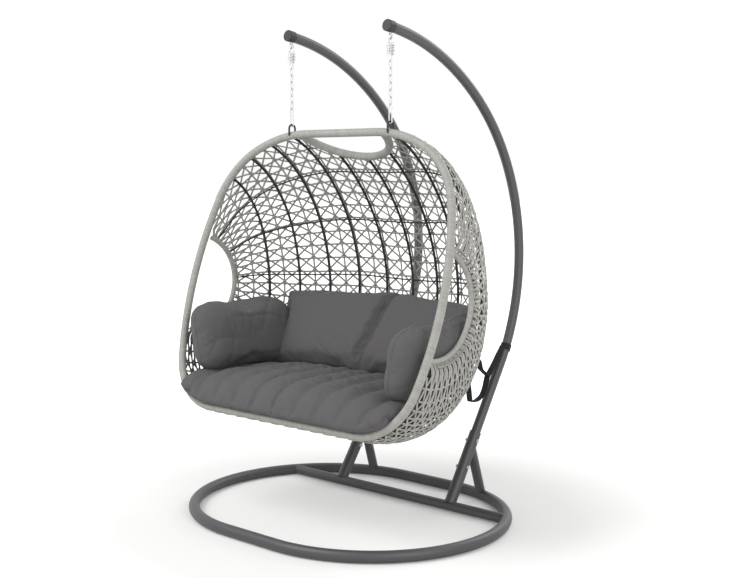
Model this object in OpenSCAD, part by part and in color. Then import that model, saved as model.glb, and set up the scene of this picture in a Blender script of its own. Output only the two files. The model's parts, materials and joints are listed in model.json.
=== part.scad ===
// Double hanging egg chair: a ring base, two bent arms, a chain on each arm and a woven
// two-seat basket with loose cushions. Millimetres; the front faces -Y and +X is the right side
// of someone who stands in front and looks at the chair. The origin is on the floor, at the
// centre of the base ring.

/* [Base ring] */
// Overall width of the base ring
base_w = 1383; // [1300:1:1450]
// Overall depth of the base ring
base_d = 1111; // [1060:1:1160]
// Diameter of the base ring's tube
base_tube = 45; // [40:1:50]
// Wall of the base ring's tube
base_wall = 1.8; // [1.5:0.1:2.5]
// Diameter of the cross tube
cross_tube = 40; // [34:1:44]
// Wall of the cross tube, the posts' braces and the arms
tube_wall = 1.8; // [1.5:0.1:2.5]
// Distance of the cross tube behind the ring's centre
cross_y = 285; // [270:1:300]

/* [Posts and braces] */
// Diameter of the posts that hold the arms
post_tube = 48; // [46:1:52]
// Distance from the cross tube's axis to the top of a post
post_len = 330; // [310:1:360]
// Half the distance between the posts at the cross tube
foot_x = 302; // [290:1:315]
// Diameter of the rear braces
brace_tube = 40; // [34:1:42]
// Distance along a post from the cross tube to the brace's axis
brace_up = 268; // [255:1:280]

/* [Arms] */
// Diameter of an arm's tube
arm_tube = 40; // [36:1:42]
// Lean of the posts and of the arms' straight part from the vertical
arm_lean = 34; // [33.5:0.1:34.5]
// Straight part of an arm, measured from the cross tube's axis
arm_straight = 652; // [645:1:660]
// Radius of an arm's lower bend
bend_r1 = 851; // [846:1:856]
// Angle of an arm's lower bend
bend_a1 = 82.65; // [82:0.05:83.2]
// Radius of an arm's upper bend
bend_r2 = 1028; // [1020:1:1036]
// Angle of an arm's upper bend
bend_a2 = 32.6; // [32:0.1:33.2]
// Straight nose at an arm's tip
arm_nose = 47; // [44:1:52]
// Half the distance between the tips, where the chains hang
hang_x = 264; // [256:1:272]
// Distance from the cross tube's axis to the arm's lower end, inside the post
arm_seat = 120; // [90:1:140]

/* [Bolts, caps and eyes] */
// Diameter of the post bolts
bolt_d = 8; // [6:1:10]
// Distance along a post from the cross tube to the lower bolt
bolt_up = 172; // [160:1:185]
// Distance between the two bolts of a post
bolt_pitch = 120; // [110:1:125]
// Length of the cap on an arm's tip
cap_len = 34; // [30:1:38]
// Wall of the cap
cap_wall = 2.6; // [2:0.1:3.5]
// Wire of the eye bolts
eye_wire = 7; // [6:0.5:8]
// Middle radius of an eye
eye_r = 9; // [8.5:0.1:10]

/* [Springs and chains] */
// Wire of the spring's two hooked bars and of the chain
link_wire = 5; // [4:0.5:5.5]
// Wire of the spring's coil
coil_wire = 4.4; // [3.5:0.1:4.8]
// Middle radius of the spring's coil
coil_r = 13.5; // [12.8:0.1:15]
// Number of turns of the coil
coil_turns = 6; // [5:1:7]
// Length of the coil, between the middles of its end turns
coil_len = 36; // [34:1:42]
// Middle radius of the bars' ends and of the links' ends
link_r = 6; // [5.5:0.1:7]
// Distance from one chain link to the next
chain_pitch = 26.75; // [25:0.05:29]
// Number of links in a chain
chain_links = 6; // [5:1:7]
// Wire of the loops on the basket
loop_wire = 8; // [6:0.5:9]

/* [Basket frame] */
// Diameter of the rim's tube and of the handle's tube
rim_tube = 25; // [22:0.5:27]
// Diameter over the wound strand on the rim and on the handle
wrap_d = 32; // [30:0.5:35]
// Lean of the rim from the vertical
rim_lean = 17.7; // [17.2:0.1:18.2]
// Height of the rim's top above the floor
rim_top_z = 1535; // [1530:1:1540]
// Half the straight part of the rim's top
rim_flat = 187; // [182:1:192]
// Radius of the rim's shoulder
rim_r1 = 563; // [555:1:570]
// Radius of the rim's upper corner
rim_r2 = 353; // [348:1:358]
// Radius of the rim's side
rim_r3 = 1378; // [1360:1:1400]
// Radius of the rim's lower corner
rim_r4 = 240; // [230:1:250]
// Depth of the basket behind the rim, at its middle
bowl_depth = 650; // [630:1:665]
// Diameter of the upright ribs
rib_d = 11; // [9:0.5:12]
// Diameter of the level hoops
hoop_d = 6; // [5:0.5:7]
// Radius of the handle bar
handle_r = 225; // [215:1:235]
// Slope of the handle bar below the level
handle_dip = 28; // [26:0.5:30]
// Radius of the bar round a side opening
side_r = 198.6; // [190:0.2:205]
// Distance of a side opening's bar from the middle of the basket
side_x = 640; // [636:1:644]
// Height of a side opening's middle above the floor
side_z = 919; // [912:1:926]
// Diameter of the bar round a side opening, over its wound strand
side_d = 22; // [20:0.5:24]

/* [Woven skin] */
// Thickness of the woven skin
skin_t = 4; // [3:0.2:5]
// Columns of open diamonds from side to side
skin_cols = 18; // [12:6:18]
// Share of a cell that its open diamond takes
skin_open = 0.78; // [0.6:0.01:0.84]

/* [Cushions] */
// Width of the seat cushion
seat_w = 1130; // [1090:1:1150]
// Depth of the seat cushion
seat_d = 570; // [540:1:585]
// Rise of the seat cushion's crown above its seam
seat_t = 112; // [90:1:120]
// Width of the back cushion
back_w = 950; // [900:1:970]
// Height of the back cushion, along its slope
back_h = 410; // [395:1:420]
// Thickness of the back cushion at its crown
back_t = 130; // [115:1:140]
// Slope of the back cushion from the vertical
back_lean = 40; // [36:0.5:44]
// Length of a side pillow, round its curve
bolster_l = 500; // [460:1:510]
// Height of a side pillow
bolster_h = 300; // [280:1:310]
// Thickness of a side pillow at its crown
bolster_t = 120; // [105:1:125]

/* [Straps] */
// Width of the webbing straps
strap_w = 28; // [20:1:32]
// Thickness of the webbing
strap_t = 2.4; // [1.6:0.2:3]

/* [Hidden] */
// Gap at a weld or a cope, gap of a sliding fit, and gap of a soft or loose piece to its seat
weld_gap = 0.2;
fit_gap = 0.4;
soft_gap = 0.4;
// Depth and direction steps used for the basket's normals, in degrees
dstep = 0.5;
$fa = 2;
$fs = 1.2;

steel = [0.20, 0.20, 0.21];
zinc = [0.80, 0.81, 0.82];
black = [0.07, 0.07, 0.07];
wicker = [0.70, 0.70, 0.67];
fabric = [0.37, 0.36, 0.37];

// ---------- planar tube runs ----------
// A run is a list of pieces from a start [x, y, heading]: [length] is straight and
// [radius, angle] is a bend, to the left where the angle is positive.
function step(p, e) =
    len(e) == 1 ? [p[0] + e[0] * cos(p[2]), p[1] + e[0] * sin(p[2]), p[2]] :
    let (s = sign(e[1]), cx = p[0] - s * e[0] * sin(p[2]), cy = p[1] + s * e[0] * cos(p[2]),
        h = p[2] + e[1]) [cx + s * e[0] * sin(h), cy - s * e[0] * cos(h), h];
function walk(p, es, n) = n == 0 ? p : step(walk(p, es, n - 1), es[n - 1]);

module tube_section(d, wall) {
    difference() {
        circle(d = d);
        if (wall > 0) circle(d = d - 2 * wall);
    }
}

// A piece of a run, cut short by trim at both ends where trim is given.
module run_piece(p, e, d, wall, trim) {
    if (len(e) == 1) {
        translate([p[0], p[1], 0])
            rotate([0, 0, p[2]])
                translate([trim, 0, 0])
                    rotate([0, 90, 0])
                        linear_extrude(e[0] - 2 * trim) tube_section(d, wall);
    } else {
        s = sign(e[1]);
        t = trim / e[0] * 180 / PI;
        translate([p[0] - s * e[0] * sin(p[2]), p[1] + s * e[0] * cos(p[2]), 0])
            rotate([0, 0, t + (s > 0 ? p[2] - 90 : p[2] + 90 + e[1])])
                rotate_extrude(angle = abs(e[1]) - 2 * t, $fn = e[0] > 100 ? 256 : 0)
                    translate([e[0], 0]) tube_section(d, wall);
    }
}

module tube_run(p, es, d, wall) {
    for (i = [0 : len(es) - 1]) run_piece(walk(p, es, i), es[i], d, wall, 0);
}

// A long run: narrow bands, a hair thicker than the tube's wall, close its joints.
band_half = 2;
band_step = 0.1;

module banded_run(p, es, d, wall, closed) {
    inner = wall > 0 ? wall + 2 * band_step : 0;
    for (i = [0 : len(es) - 1]) run_piece(walk(p, es, i), es[i], d, wall, band_half / 4);
    for (i = [(closed ? 0 : 1) : len(es) - 1])
        let (q = walk(p, es, i))
        translate([q[0], q[1], 0])
            rotate([0, 0, q[2]])
                translate([-band_half, 0, 0])
                    rotate([0, 90, 0])
                        linear_extrude(2 * band_half) tube_section(d + 2 * band_step, inner);
}

// A ring of round wire in the local XY plane: two straight sides along Y and two round ends.
module wire_link(half, r, d) {
    tube_run([r, r - half, 90], [[2 * (half - r)], [r, 180], [2 * (half - r)], [r, 180]], d, 0);
}

// ---------- stand ----------
base_z = base_tube / 2;
base_r = (base_d - base_tube) / 2;
base_flat = (base_w - base_d) / 2;
base_run = [[2 * base_flat], [base_r, 180], [2 * base_flat], [base_r, 180]];
cross_half = base_flat + sqrt(base_r * base_r - cross_y * cross_y);

module ring_solid(grow) {
    translate([0, 0, base_z])
        tube_run([-base_flat, -base_r, 0], base_run, base_tube + 2 * grow, 0);
}

module base_ring() {
    color(steel)
        translate([0, 0, base_z])
            tube_run([-base_flat, -base_r, 0], base_run, base_tube, base_wall);
}

module cross_rod(d, half) {
    translate([-half, cross_y, base_z])
        rotate([0, 90, 0]) cylinder(d = d, h = 2 * half);
}

module cross_tube() {
    color(steel)
        difference() {
            cross_rod(cross_tube, cross_half);
            cross_rod(cross_tube - 2 * tube_wall, cross_half + 10);
            ring_solid(weld_gap);
        }
}

// The arms' plane: local X points to the back and local Y up along the splayed plane.
arm_head = 90 - arm_lean;
arm_bends = [[bend_r1, bend_a1], [bend_r2, bend_a2], [arm_nose]];
arm_tip = walk([cross_y, base_z, arm_head], concat([[arm_straight]], arm_bends), 4);
splay = atan((foot_x - hang_x) / (arm_tip[1] - base_z));

module arm_plane(side) {
    mirror([side < 0 ? 1 : 0, 0, 0])
        translate([foot_x, 0, base_z])
            rotate([0, -splay, 0])
                translate([0, 0, -base_z])
                    rotate([90, 0, 90]) children();
}

// A rod along an arm's straight line, from one distance above the cross tube's axis to another.
module arm_rod(d, from, to) {
    translate([cross_y + from * cos(arm_head), base_z + from * sin(arm_head), 0])
        rotate([0, 0, arm_head])
            rotate([0, 90, 0]) cylinder(d = d, h = to - from);
}

module at_bolts() {
    for (k = [0, 1]) {
        s = bolt_up + k * bolt_pitch;
        translate([cross_y + s * cos(arm_head), base_z + s * sin(arm_head), 0]) children();
    }
}

module bolt_holes() {
    at_bolts() cylinder(d = bolt_d + fit_gap, h = 2 * post_tube, center = true);
}

module post(side) {
    color(steel)
        difference() {
            arm_plane(side)
                difference() {
                    arm_rod(post_tube, 8, post_len);
                    arm_rod(arm_tube + 2 * fit_gap, -60, post_len + 10);
                    bolt_holes();
                }
            cross_rod(cross_tube + 2 * weld_gap, cross_half);
        }
}

module post_left() post(-1);
module post_right() post(1);

brace_top = [cross_y + brace_up * cos(arm_head), base_z + brace_up * sin(arm_head)];
brace_foot = [sqrt(base_r * base_r - pow(foot_x - base_flat, 2)), base_z];
brace_len = norm(brace_top - brace_foot);
brace_head = atan2(brace_top[1] - brace_foot[1], brace_top[0] - brace_foot[0]);

module brace_rod(d, from, to) {
    translate([brace_foot[0], brace_foot[1], 0])
        rotate([0, 0, brace_head])
            translate([from, 0, 0])
                rotate([0, 90, 0]) cylinder(d = d, h = to - from);
}

module brace(side) {
    color(steel)
        difference() {
            arm_plane(side)
                difference() {
                    brace_rod(brace_tube, 0, brace_len);
                    brace_rod(brace_tube - 2 * tube_wall, -10, brace_len + 10);
                    arm_rod(post_tube + 2 * weld_gap, -60, post_len + 60);
                }
            ring_solid(weld_gap);
        }
}

module brace_left() brace(-1);
module brace_right() brace(1);

// The eye bolts hang under the arms' noses, and the chains hang from them.
cap_out = 4;
eye_back = 20;
eye_y = arm_tip[0] + eye_back * cos(arm_head + bend_a1 + bend_a2 - 180);
nose_z = base_z + (arm_tip[1] - base_z - eye_back * sin(arm_head + bend_a1 + bend_a2)) * cos(splay);
eye_top_z = nose_z - arm_tube / 2 - cap_wall;
eye_z = eye_top_z - 2 - eye_wire / 2 - eye_r;

module eye_shank(d, z0, z1) {
    for (m = [0, 1])
        mirror([m, 0, 0])
            translate([hang_x, eye_y, z0]) cylinder(d = d, h = z1 - z0);
}

module arm(side) {
    color(steel)
        difference() {
            arm_plane(side)
                difference() {
                    banded_run([cross_y + arm_seat * cos(arm_head),
                        base_z + arm_seat * sin(arm_head), arm_head],
                        concat([[arm_straight - arm_seat]], arm_bends), arm_tube, tube_wall, false);
                    bolt_holes();
                }
            eye_shank(bolt_d + fit_gap, eye_z, nose_z);
        }
}

module arm_left() arm(-1);
module arm_right() arm(1);

// A cap slips over an arm's nose and has a rounded end.
module cap_body(grow) {
    r = arm_tube / 2 + cap_wall + fit_gap / 2;
    rotate_extrude()
        difference() {
            union() {
                translate([0, -cap_len + cap_out]) square([r, cap_len - 3]);
                translate([0, -cap_len + cap_out]) square([r - 3, cap_len]);
                translate([r - 3, cap_out - 3]) circle(r = 3);
            }
            translate([-r, -cap_len]) square([r, 2 * cap_len]);
            translate([-1, -cap_len]) square([arm_tube / 2 + fit_gap / 2 + 1, cap_len + fit_gap]);
        }
}

module end_caps() {
    color(black)
        difference() {
            for (side = [-1, 1])
                arm_plane(side)
                    translate([arm_tip[0], arm_tip[1], 0])
                        rotate([0, 0, arm_tip[2]])
                            rotate([0, 90, 0]) cap_body(0);
            eye_shank(bolt_d + fit_gap, eye_z, nose_z);
        }
}

module hex_nut(across, h, hole) {
    difference() {
        cylinder(d = across / cos(30), h = h, $fn = 6);
        translate([0, 0, -1]) cylinder(d = hole, h = h + 2);
    }
}

// Bolts through the posts and the arms, with a domed head on the outer side.
head_h = 5;
nut_h = 6.5;
washer_t = 1.6;
post_r = post_tube / 2;

module post_bolts() {
    color(zinc)
        for (side = [-1, 1])
            arm_plane(side)
                at_bolts() {
                    translate([0, 0, -post_r - washer_t - nut_h - 3])
                        cylinder(d = bolt_d, h = 2 * post_r + 2 * washer_t + nut_h + 4);
                    translate([0, 0, post_r + weld_gap])
                        cylinder(d = 2 * bolt_d, h = washer_t);
                    translate([0, 0, post_r + weld_gap + washer_t])
                        cylinder(d = 1.6 * bolt_d, h = head_h);
                }
}

module post_nuts() {
    color(steel)
        for (side = [-1, 1])
            arm_plane(side)
                at_bolts() {
                    translate([0, 0, -post_r - weld_gap - washer_t])
                        difference() {
                            cylinder(d = 2 * bolt_d, h = washer_t);
                            translate([0, 0, -1]) cylinder(d = bolt_d + weld_gap, h = washer_t + 2);
                        }
                    translate([0, 0, -post_r - weld_gap - washer_t - nut_h])
                        hex_nut(1.62 * bolt_d, nut_h, bolt_d + weld_gap);
                }
}

eye_nut_z = nose_z - arm_tube / 2 + tube_wall + 3.4;

module eye_bolts() {
    color(zinc)
        union() {
            eye_shank(bolt_d, eye_z + eye_r, eye_nut_z + nut_h + 2);
            for (m = [0, 1])
                mirror([m, 0, 0])
                    translate([hang_x, eye_y, eye_z])
                        rotate([0, 90, 0])
                            rotate_extrude() translate([eye_r, 0]) circle(d = eye_wire);
        }
}

module eye_nuts() {
    color(zinc)
        for (m = [0, 1])
            mirror([m, 0, 0])
                translate([hang_x, eye_y, eye_nut_z]) hex_nut(1.62 * bolt_d, nut_h, bolt_d + weld_gap);
}

// ---------- springs and chains ----------
// Each hanger is an upper hooked bar in the XZ plane, a coil round it, and a lower hooked bar in
// the YZ plane that hangs from the coil's top end. A chain link follows in the XZ plane.
hang_y = eye_y;
bar_r = link_r + 1;
swing_z = eye_z - eye_r + eye_wire / 2 + link_wire / 2 + weld_gap;
coil_top_z = swing_z - 24;
coil_bottom_z = coil_top_z - coil_len;
foot_drop = (coil_wire + link_wire) / 2 + weld_gap;
sway_z = coil_bottom_z - 30;
link_half = (chain_pitch + link_wire + weld_gap) / 2;
chain_top_z = sway_z + link_wire + weld_gap;
level_z = chain_top_z - (chain_links - 1) * chain_pitch - 2 * link_half;
end_top_z = level_z + link_wire + weld_gap;

module hanger_pair() {
    for (m = [0, 1])
        mirror([m, 0, 0])
            translate([hang_x, hang_y, 0]) children();
}

// A U of wire in the local XY plane, open downwards, with feet that point outwards.
module hooked_bar(legs, out) {
    for (m = [0, 1])
        mirror([m, 0, 0])
            tube_run([0, bar_r, 0], [[bar_r, -90], [legs], [link_wire, 90], [out]], link_wire, 0);
}

bar_legs = swing_z - bar_r - (coil_bottom_z - foot_drop) - link_wire;
low_legs = coil_top_z + foot_drop - link_wire - sway_z - bar_r;
foot_out = coil_r + coil_wire / 2 - bar_r - link_wire;

module spring_bars_upper() {
    color(zinc)
        hanger_pair()
            translate([0, 0, swing_z - bar_r])
                rotate([90, 0, 0]) hooked_bar(bar_legs, foot_out);
}

module spring_bars_lower() {
    color(zinc)
        hanger_pair()
            translate([0, 0, sway_z + bar_r])
                rotate([-90, 0, 90]) hooked_bar(low_legs, foot_out);
}

// The coil is one unbroken tube of six-sided rings with closed end faces.
coil_rings = 8;
coil_sides = 6;
function coil_mid(k) =
    let (a = 360 * k / coil_rings, z = coil_bottom_z + coil_len * k / (coil_turns * coil_rings))
    [coil_r * cos(a), coil_r * sin(a), z];
function coil_point(k, j) =
    let (a = 360 * k / coil_rings, b = 360 * j / coil_sides, q = coil_wire / 2)
    coil_mid(k) + q * [cos(a) * cos(b), sin(a) * cos(b), sin(b)];
coil_count = coil_turns * coil_rings;
echo(coil_gap = coil_len / coil_turns - coil_wire);

module coil() {
    n = coil_sides;
    points = [for (k = [0 : coil_count]) for (j = [0 : n - 1]) coil_point(k, j)];
    walls = [for (k = [0 : coil_count - 1]) for (j = [0 : n - 1])
        let (a = k * n + j, b = k * n + (j + 1) % n) each [[a, b, a + n], [b, b + n, a + n]]];
    first = [for (j = [1 : n - 2]) [0, j + 1, j]];
    last = [for (j = [1 : n - 2]) let (o = coil_count * n) [o, o + j, o + j + 1]];
    polyhedron(points = points, faces = concat(walls, first, last), convexity = 10);
}

module spring_coil_left() {
    color(zinc) translate([-hang_x, hang_y, 0]) coil();
}

module spring_coil_right() {
    color(zinc) translate([hang_x, hang_y, 0]) coil();
}

module chain(side) {
    color(zinc)
        for (k = [0 : chain_links - 1])
            translate([side * hang_x, hang_y, chain_top_z - link_half - k * chain_pitch])
                rotate([90, 0, k % 2 == 0 ? 0 : 90]) wire_link(link_half, link_r, link_wire);
}

module chain_left() chain(-1);
module chain_right() chain(1);

// The end links are wider than the chain's, because the basket's loops are of thicker wire.
end_r = (loop_wire + link_wire) / 2 + fit_gap;

module end_links() {
    half = (end_top_z - tilt_z) / 2;
    color(zinc)
        hanger_pair()
            translate([0, 0, tilt_z + half]) rotate([90, 0, 0]) wire_link(half, end_r, link_wire);
}

// ---------- basket frame ----------
// The rim lies in a leaning plane: local X to the right, local Y up along the rim.
rim_a1 = 26.85;
rim_a2 = 48.42;
rim_a3 = 28.37;
rim_a4 = 180 - rim_a1 - rim_a2 - rim_a3;
rim_bends = [[rim_r1, -rim_a1], [rim_r2, -rim_a2], [rim_r3, -rim_a3], [rim_r4, -rim_a4]];
rim_half = concat([[rim_flat]], rim_bends);
rim_1 = walk([0, 0, 0], rim_half, 2);
rim_2 = walk([0, 0, 0], rim_half, 3);
rim_3 = walk([0, 0, 0], rim_half, 4);
rim_4 = walk([0, 0, 0], rim_half, 5);
rim_c1 = [rim_flat, -rim_r1];
rim_c2 = [rim_1[0] - rim_r2 * sin(rim_a1), rim_1[1] - rim_r2 * cos(rim_a1)];
rim_c3 = [rim_2[0] - rim_r3 * sin(rim_a1 + rim_a2), rim_2[1] - rim_r3 * cos(rim_a1 + rim_a2)];
rim_c4 = [rim_4[0], rim_4[1] + rim_r4];
rim_w = rim_c3[0] + rim_r3;
rim_path = concat([[2 * rim_flat]], rim_bends, [[2 * rim_4[0]]],
    [for (k = [3 : -1 : 0]) rim_bends[k]]);

// The loops on the rim stand at hang_x, where the rim is hang_fall below its top.
hang_fall = rim_r1 - sqrt(pow(rim_r1, 2) - pow(hang_x - rim_flat, 2));
rim_y = hang_y + hang_fall * sin(rim_lean);
loop_r = (rim_tube + loop_wire) / 2 + 0.1;
loop_base_z = rim_top_z - hang_fall * cos(rim_lean);
loop_leg = 27;
tilt_z = loop_base_z + loop_leg + loop_r - loop_wire / 2 - link_wire / 2 - weld_gap;

module rim_plane() {
    translate([0, rim_y, rim_top_z]) rotate([90 - rim_lean, 0, 0]) children();
}

module rim_run(d, wall) {
    rim_plane() banded_run([-rim_flat, 0, 0], rim_path, d, wall, true);
}

// The handle bar is an arc behind the rim's top, in a plane that dips to the back.
handle_back = -33;
handle_a = acos(-handle_back / handle_r);
handle_end = sqrt(handle_r * handle_r - handle_back * handle_back);

module handle_plane() {
    translate([0, rim_y, rim_top_z]) rotate([-handle_dip, 0, 0]) children();
}

module handle_run(d, wall) {
    handle_plane()
        translate([0, handle_back, 0])
            rotate([0, 0, 90 - handle_a])
                rotate_extrude(angle = 2 * handle_a)
                    translate([handle_r, 0]) tube_section(d, wall);
}

// Straight stand-ins for the rim where the handle bar meets it.
module handle_seat(d) {
    for (m = [0, 1])
        mirror([m, 0, 0])
            rim_plane()
                translate([handle_end, rim_top(handle_end), 0])
                    rotate([0, 0, -asin((handle_end - rim_flat) / rim_r1)])
                        translate([-60, 0, 0])
                            rotate([0, 90, 0]) cylinder(d = d, h = 120);
}

module hang_loop(d) {
    for (m = [0, 1])
        mirror([m, 0, 0])
            translate([hang_x, hang_y, loop_base_z])
                rotate([90, 0, 90])
                    for (k = [0, 1])
                        mirror([k, 0, 0])
                            tube_run([loop_r, 0, 90], [[loop_leg], [loop_r, 90]], d, 0);
}

// Slots in the wound strand for the loops' legs.
module loop_slots() {
    w = loop_wire + 2 * weld_gap;
    in = rim_tube / 2 - 0.5;
    for (m = [0, 1])
        mirror([m, 0, 0])
            for (k = [-1, 1])
                translate([hang_x, hang_y + k * (in + wrap_d / 2), loop_base_z + wrap_d / 2 - 1.5])
                    cube([w, wrap_d, wrap_d], center = true);
}

module rim_tube_frame() {
    color(steel) rim_run(rim_tube, base_wall);
}

module handle_tube() {
    color(steel)
        difference() {
            handle_run(rim_tube, base_wall);
            handle_seat(rim_tube + 2 * weld_gap);
        }
}

module rim_wrap() {
    color(wicker)
        difference() {
            rim_run(wrap_d, (wrap_d - rim_tube - 5 * band_step) / 2);
            loop_slots();
            handle_run(rim_tube + weld_gap, 0);
        }
}

module handle_wrap() {
    color(wicker)
        difference() {
            handle_run(wrap_d, 0);
            handle_run(rim_tube + weld_gap, 0);
            handle_seat(wrap_d + 2 * weld_gap);
        }
}

module hang_loops() {
    color(black) hang_loop(loop_wire);
}

// ---------- basket surface ----------
// Every point of the basket comes from one surface: a is the girth angle from the middle to a
// side and t goes from the rim's top round the back to the rim's bottom, both in degrees.
function rim_top(x) =
    x <= rim_flat ? 0 :
    x <= rim_1[0] ? rim_c1[1] + sqrt(pow(rim_r1, 2) - pow(x - rim_c1[0], 2)) :
    x <= rim_2[0] ? rim_c2[1] + sqrt(pow(rim_r2, 2) - pow(x - rim_c2[0], 2)) :
    rim_c3[1] + sqrt(max(0, pow(rim_r3, 2) - pow(x - rim_c3[0], 2)));
function rim_low(x) =
    x <= rim_4[0] ? rim_4[1] :
    x <= rim_3[0] ? rim_c4[1] - sqrt(pow(rim_r4, 2) - pow(x - rim_c4[0], 2)) :
    rim_c3[1] - sqrt(max(0, pow(rim_r3, 2) - pow(x - rim_c3[0], 2)));
function ease(t) = let (w = min(1, max(0, (t - 60) / 60))) w * w * (3 - 2 * w);
function fullness(t) = 2.12 + 0.28 * ease(t);
function roundness(t) = t < 90 ? 1.70 : 2.30;
function bowl(a, t) =
    let (x = rim_w * sin(a), q = fullness(t), p = roundness(t), u = abs(sin(a)),
        depth = bowl_depth * pow(max(0, 1 - pow(u, q)), 1 / q),
        top = rim_top(abs(x)), low = rim_low(abs(x)), c = cos(t), s = sin(t),
        r = pow(pow(abs(c), p) + pow(abs(s), p), -1 / p),
        v = (top + low) / 2 + (top - low) / 2 * r * c, n = depth * r * s)
    [x, rim_y + v * sin(rim_lean) + n * cos(rim_lean),
        rim_top_z + v * cos(rim_lean) - n * sin(rim_lean)];
function bowl_normal(a, t) =
    let (n = cross(bowl(a + dstep, t) - bowl(a - dstep, t), bowl(a, t + dstep) - bowl(a, t - dstep)))
    n / norm(n);
function bowl_out(a, t, off) = off == 0 ? bowl(a, t) : bowl(a, t) + off * bowl_normal(a, t);

// Whether a point lies past the handle bar, and its distance to a side opening's bar.
function past_handle(p, room) =
    let (y = p[1] - rim_y, z = p[2] - rim_top_z,
        w = y * cos(handle_dip) - z * sin(handle_dip), h = y * sin(handle_dip) + z * cos(handle_dip),
        r = norm([p[0], w - handle_back]))
    norm([r - handle_r, h]) > room && r > handle_r;
side_y = rim_y - (rim_top_z - side_z) * tan(rim_lean) + 9.7;
function to_side_bar(p) =
    norm([norm([p[1] - side_y, p[2] - side_z]) - side_r, abs(p[0]) - side_x]);
function behind_rim(p) =
    (p[1] - rim_y) * cos(rim_lean) - (p[2] - rim_top_z) * sin(rim_lean);

// First angle t at which a point with this offset is clear of the rim and of the handle bar.
function clear_of_bars(p, keep, room) = behind_rim(p) > wrap_d / 2 + keep
    && (abs(p[0]) > handle_end + wrap_d || past_handle(p, wrap_d / 2 + room));
function first_t(a, off, keep, room, lo, hi, n) =
    n == 0 ? hi :
    let (mid = (lo + hi) / 2)
    clear_of_bars(bowl_out(a, mid, off), keep, room)
        ? first_t(a, off, keep, room, lo, mid, n - 1) : first_t(a, off, keep, room, mid, hi, n - 1);
function start_t(a, off, keep, room) = first_t(a, off, keep, room, 1, 50, 14);
function last_t(a, off, keep, lo, hi, n) =
    n == 0 ? lo :
    let (mid = (lo + hi) / 2)
    behind_rim(bowl_out(a, mid, off)) > wrap_d / 2 + keep
        ? last_t(a, off, keep, mid, hi, n - 1) : last_t(a, off, keep, lo, mid, n - 1);
function end_t(a, off, keep) = last_t(a, off, keep, 130, 179, 14);
// Last girth angle at which a point with this offset is clear of a side opening's bar.
function side_a(t, off, keep, lo, hi, n) =
    n == 0 ? lo :
    let (mid = (lo + hi) / 2)
    to_side_bar(bowl_out(mid, t, off)) > side_d / 2 + keep
        ? side_a(t, off, keep, mid, hi, n - 1) : side_a(t, off, keep, lo, mid, n - 1);
function edge_a(t, off, keep) = side_a(t, off, keep, 62, 75, 12);

// A six-sided rod along a list of points, with its flats towards the directions in a second list.
function unit(v) = v / norm(v);
module rod(path, out, d) {
    last = len(path) - 1;
    points = [for (k = [0 : last])
        let (run = unit(path[min(last, k + 1)] - path[max(0, k - 1)]), side = unit(cross(run, out[k])),
            up = cross(side, run))
        for (j = [0 : 5])
            path[k] + d / 2 * (cos(60 * j) * side + sin(60 * j) * up)];
    walls = [for (k = [0 : last - 1]) for (j = [0 : 5])
        let (a = k * 6 + j, b = k * 6 + (j + 1) % 6)
        each [[a, b, a + 6], [b, b + 6, a + 6]]];
    first = [for (j = [1 : 4]) [0, j + 1, j]];
    end = [for (j = [1 : 4]) let (o = last * 6) [o, o + j, o + j + 1]];
    polyhedron(points = points, faces = concat(walls, first, end), convexity = 10);
}

// Rows of the basket: the level hoops lie on some of them, and the skin's cells lie between them.
hoop_ts = [26, 51, 77, 101, 124, 148];
function row_t(j) =
    j <= 1 ? hoop_ts[0] :
    j <= 4 ? hoop_ts[0] + (hoop_ts[1] - hoop_ts[0]) * (j - 1) / 3 :
    j <= 7 ? hoop_ts[1] + (hoop_ts[2] - hoop_ts[1]) * (j - 4) / 3 :
    j <= 10 ? hoop_ts[2] + (hoop_ts[3] - hoop_ts[2]) * (j - 7) / 3 :
    j <= 12 ? hoop_ts[3] + (hoop_ts[4] - hoop_ts[3]) * (j - 10) / 2 :
    j <= 14 ? hoop_ts[4] + (hoop_ts[5] - hoop_ts[4]) * (j - 12) / 2 :
    hoop_ts[5] + 12;
rows = 16;

// Upright ribs, evenly spaced round the girth.
rib_step = 12;
rib_reach = 5;
rib_room = 5;
rib_end = 2;

module ribs() {
    color(black)
        for (k = [-rib_reach : rib_reach]) {
            a = k * rib_step;
            t0 = start_t(a, 0, rib_end, rib_room);
            t1 = end_t(a, 0, rib_end);
            ts = concat([t0], [for (j = [1 : rows - 1]) if (row_t(j) > t0 + 2) row_t(j)], [t1]);
            rod([for (t = ts) bowl(a, t)], [for (t = ts) bowl_normal(a, t)], rib_d);
        }
}

// Level hoops round the outside of the ribs, from one side bar to the other.
hoop_off = (rib_d + hoop_d) / 2 * cos(30) + 0.3;

module hoops() {
    color(black)
        for (t = hoop_ts) {
            edge = edge_a(t, hoop_off, hoop_d / 2 + soft_gap);
            half = [for (a = [rib_step / 2 : rib_step / 2 : edge - 1]) a];
            as = concat([-edge], [for (i = [len(half) - 1 : -1 : 0]) -half[i]], [0], half, [edge]);
            rod([for (a = as) bowl_out(a, t, hoop_off)], [for (a = as) bowl_normal(a, t)], hoop_d);
        }
}

// The wound bar round each side opening, from the rim to the back and to the rim again.
module side_bars() {
    color(wicker)
        difference() {
            for (m = [0, 1])
                mirror([m, 0, 0])
                    translate([side_x, side_y, side_z])
                        rotate([90, 0, 90])
                            rotate([0, 0, -90 - rim_lean])
                                rotate_extrude(angle = 180)
                                    translate([side_r, 0]) circle(d = side_d);
            rim_run(wrap_d + 2 * weld_gap, 0);
        }
}

// ---------- woven skin ----------
// The skin is a net of open diamonds in panels, and it lies outside the hoops.
skin_room = 14;
panel_cols = 3;
panel_rows = 4;
panel_gap = 0.02;

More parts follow.
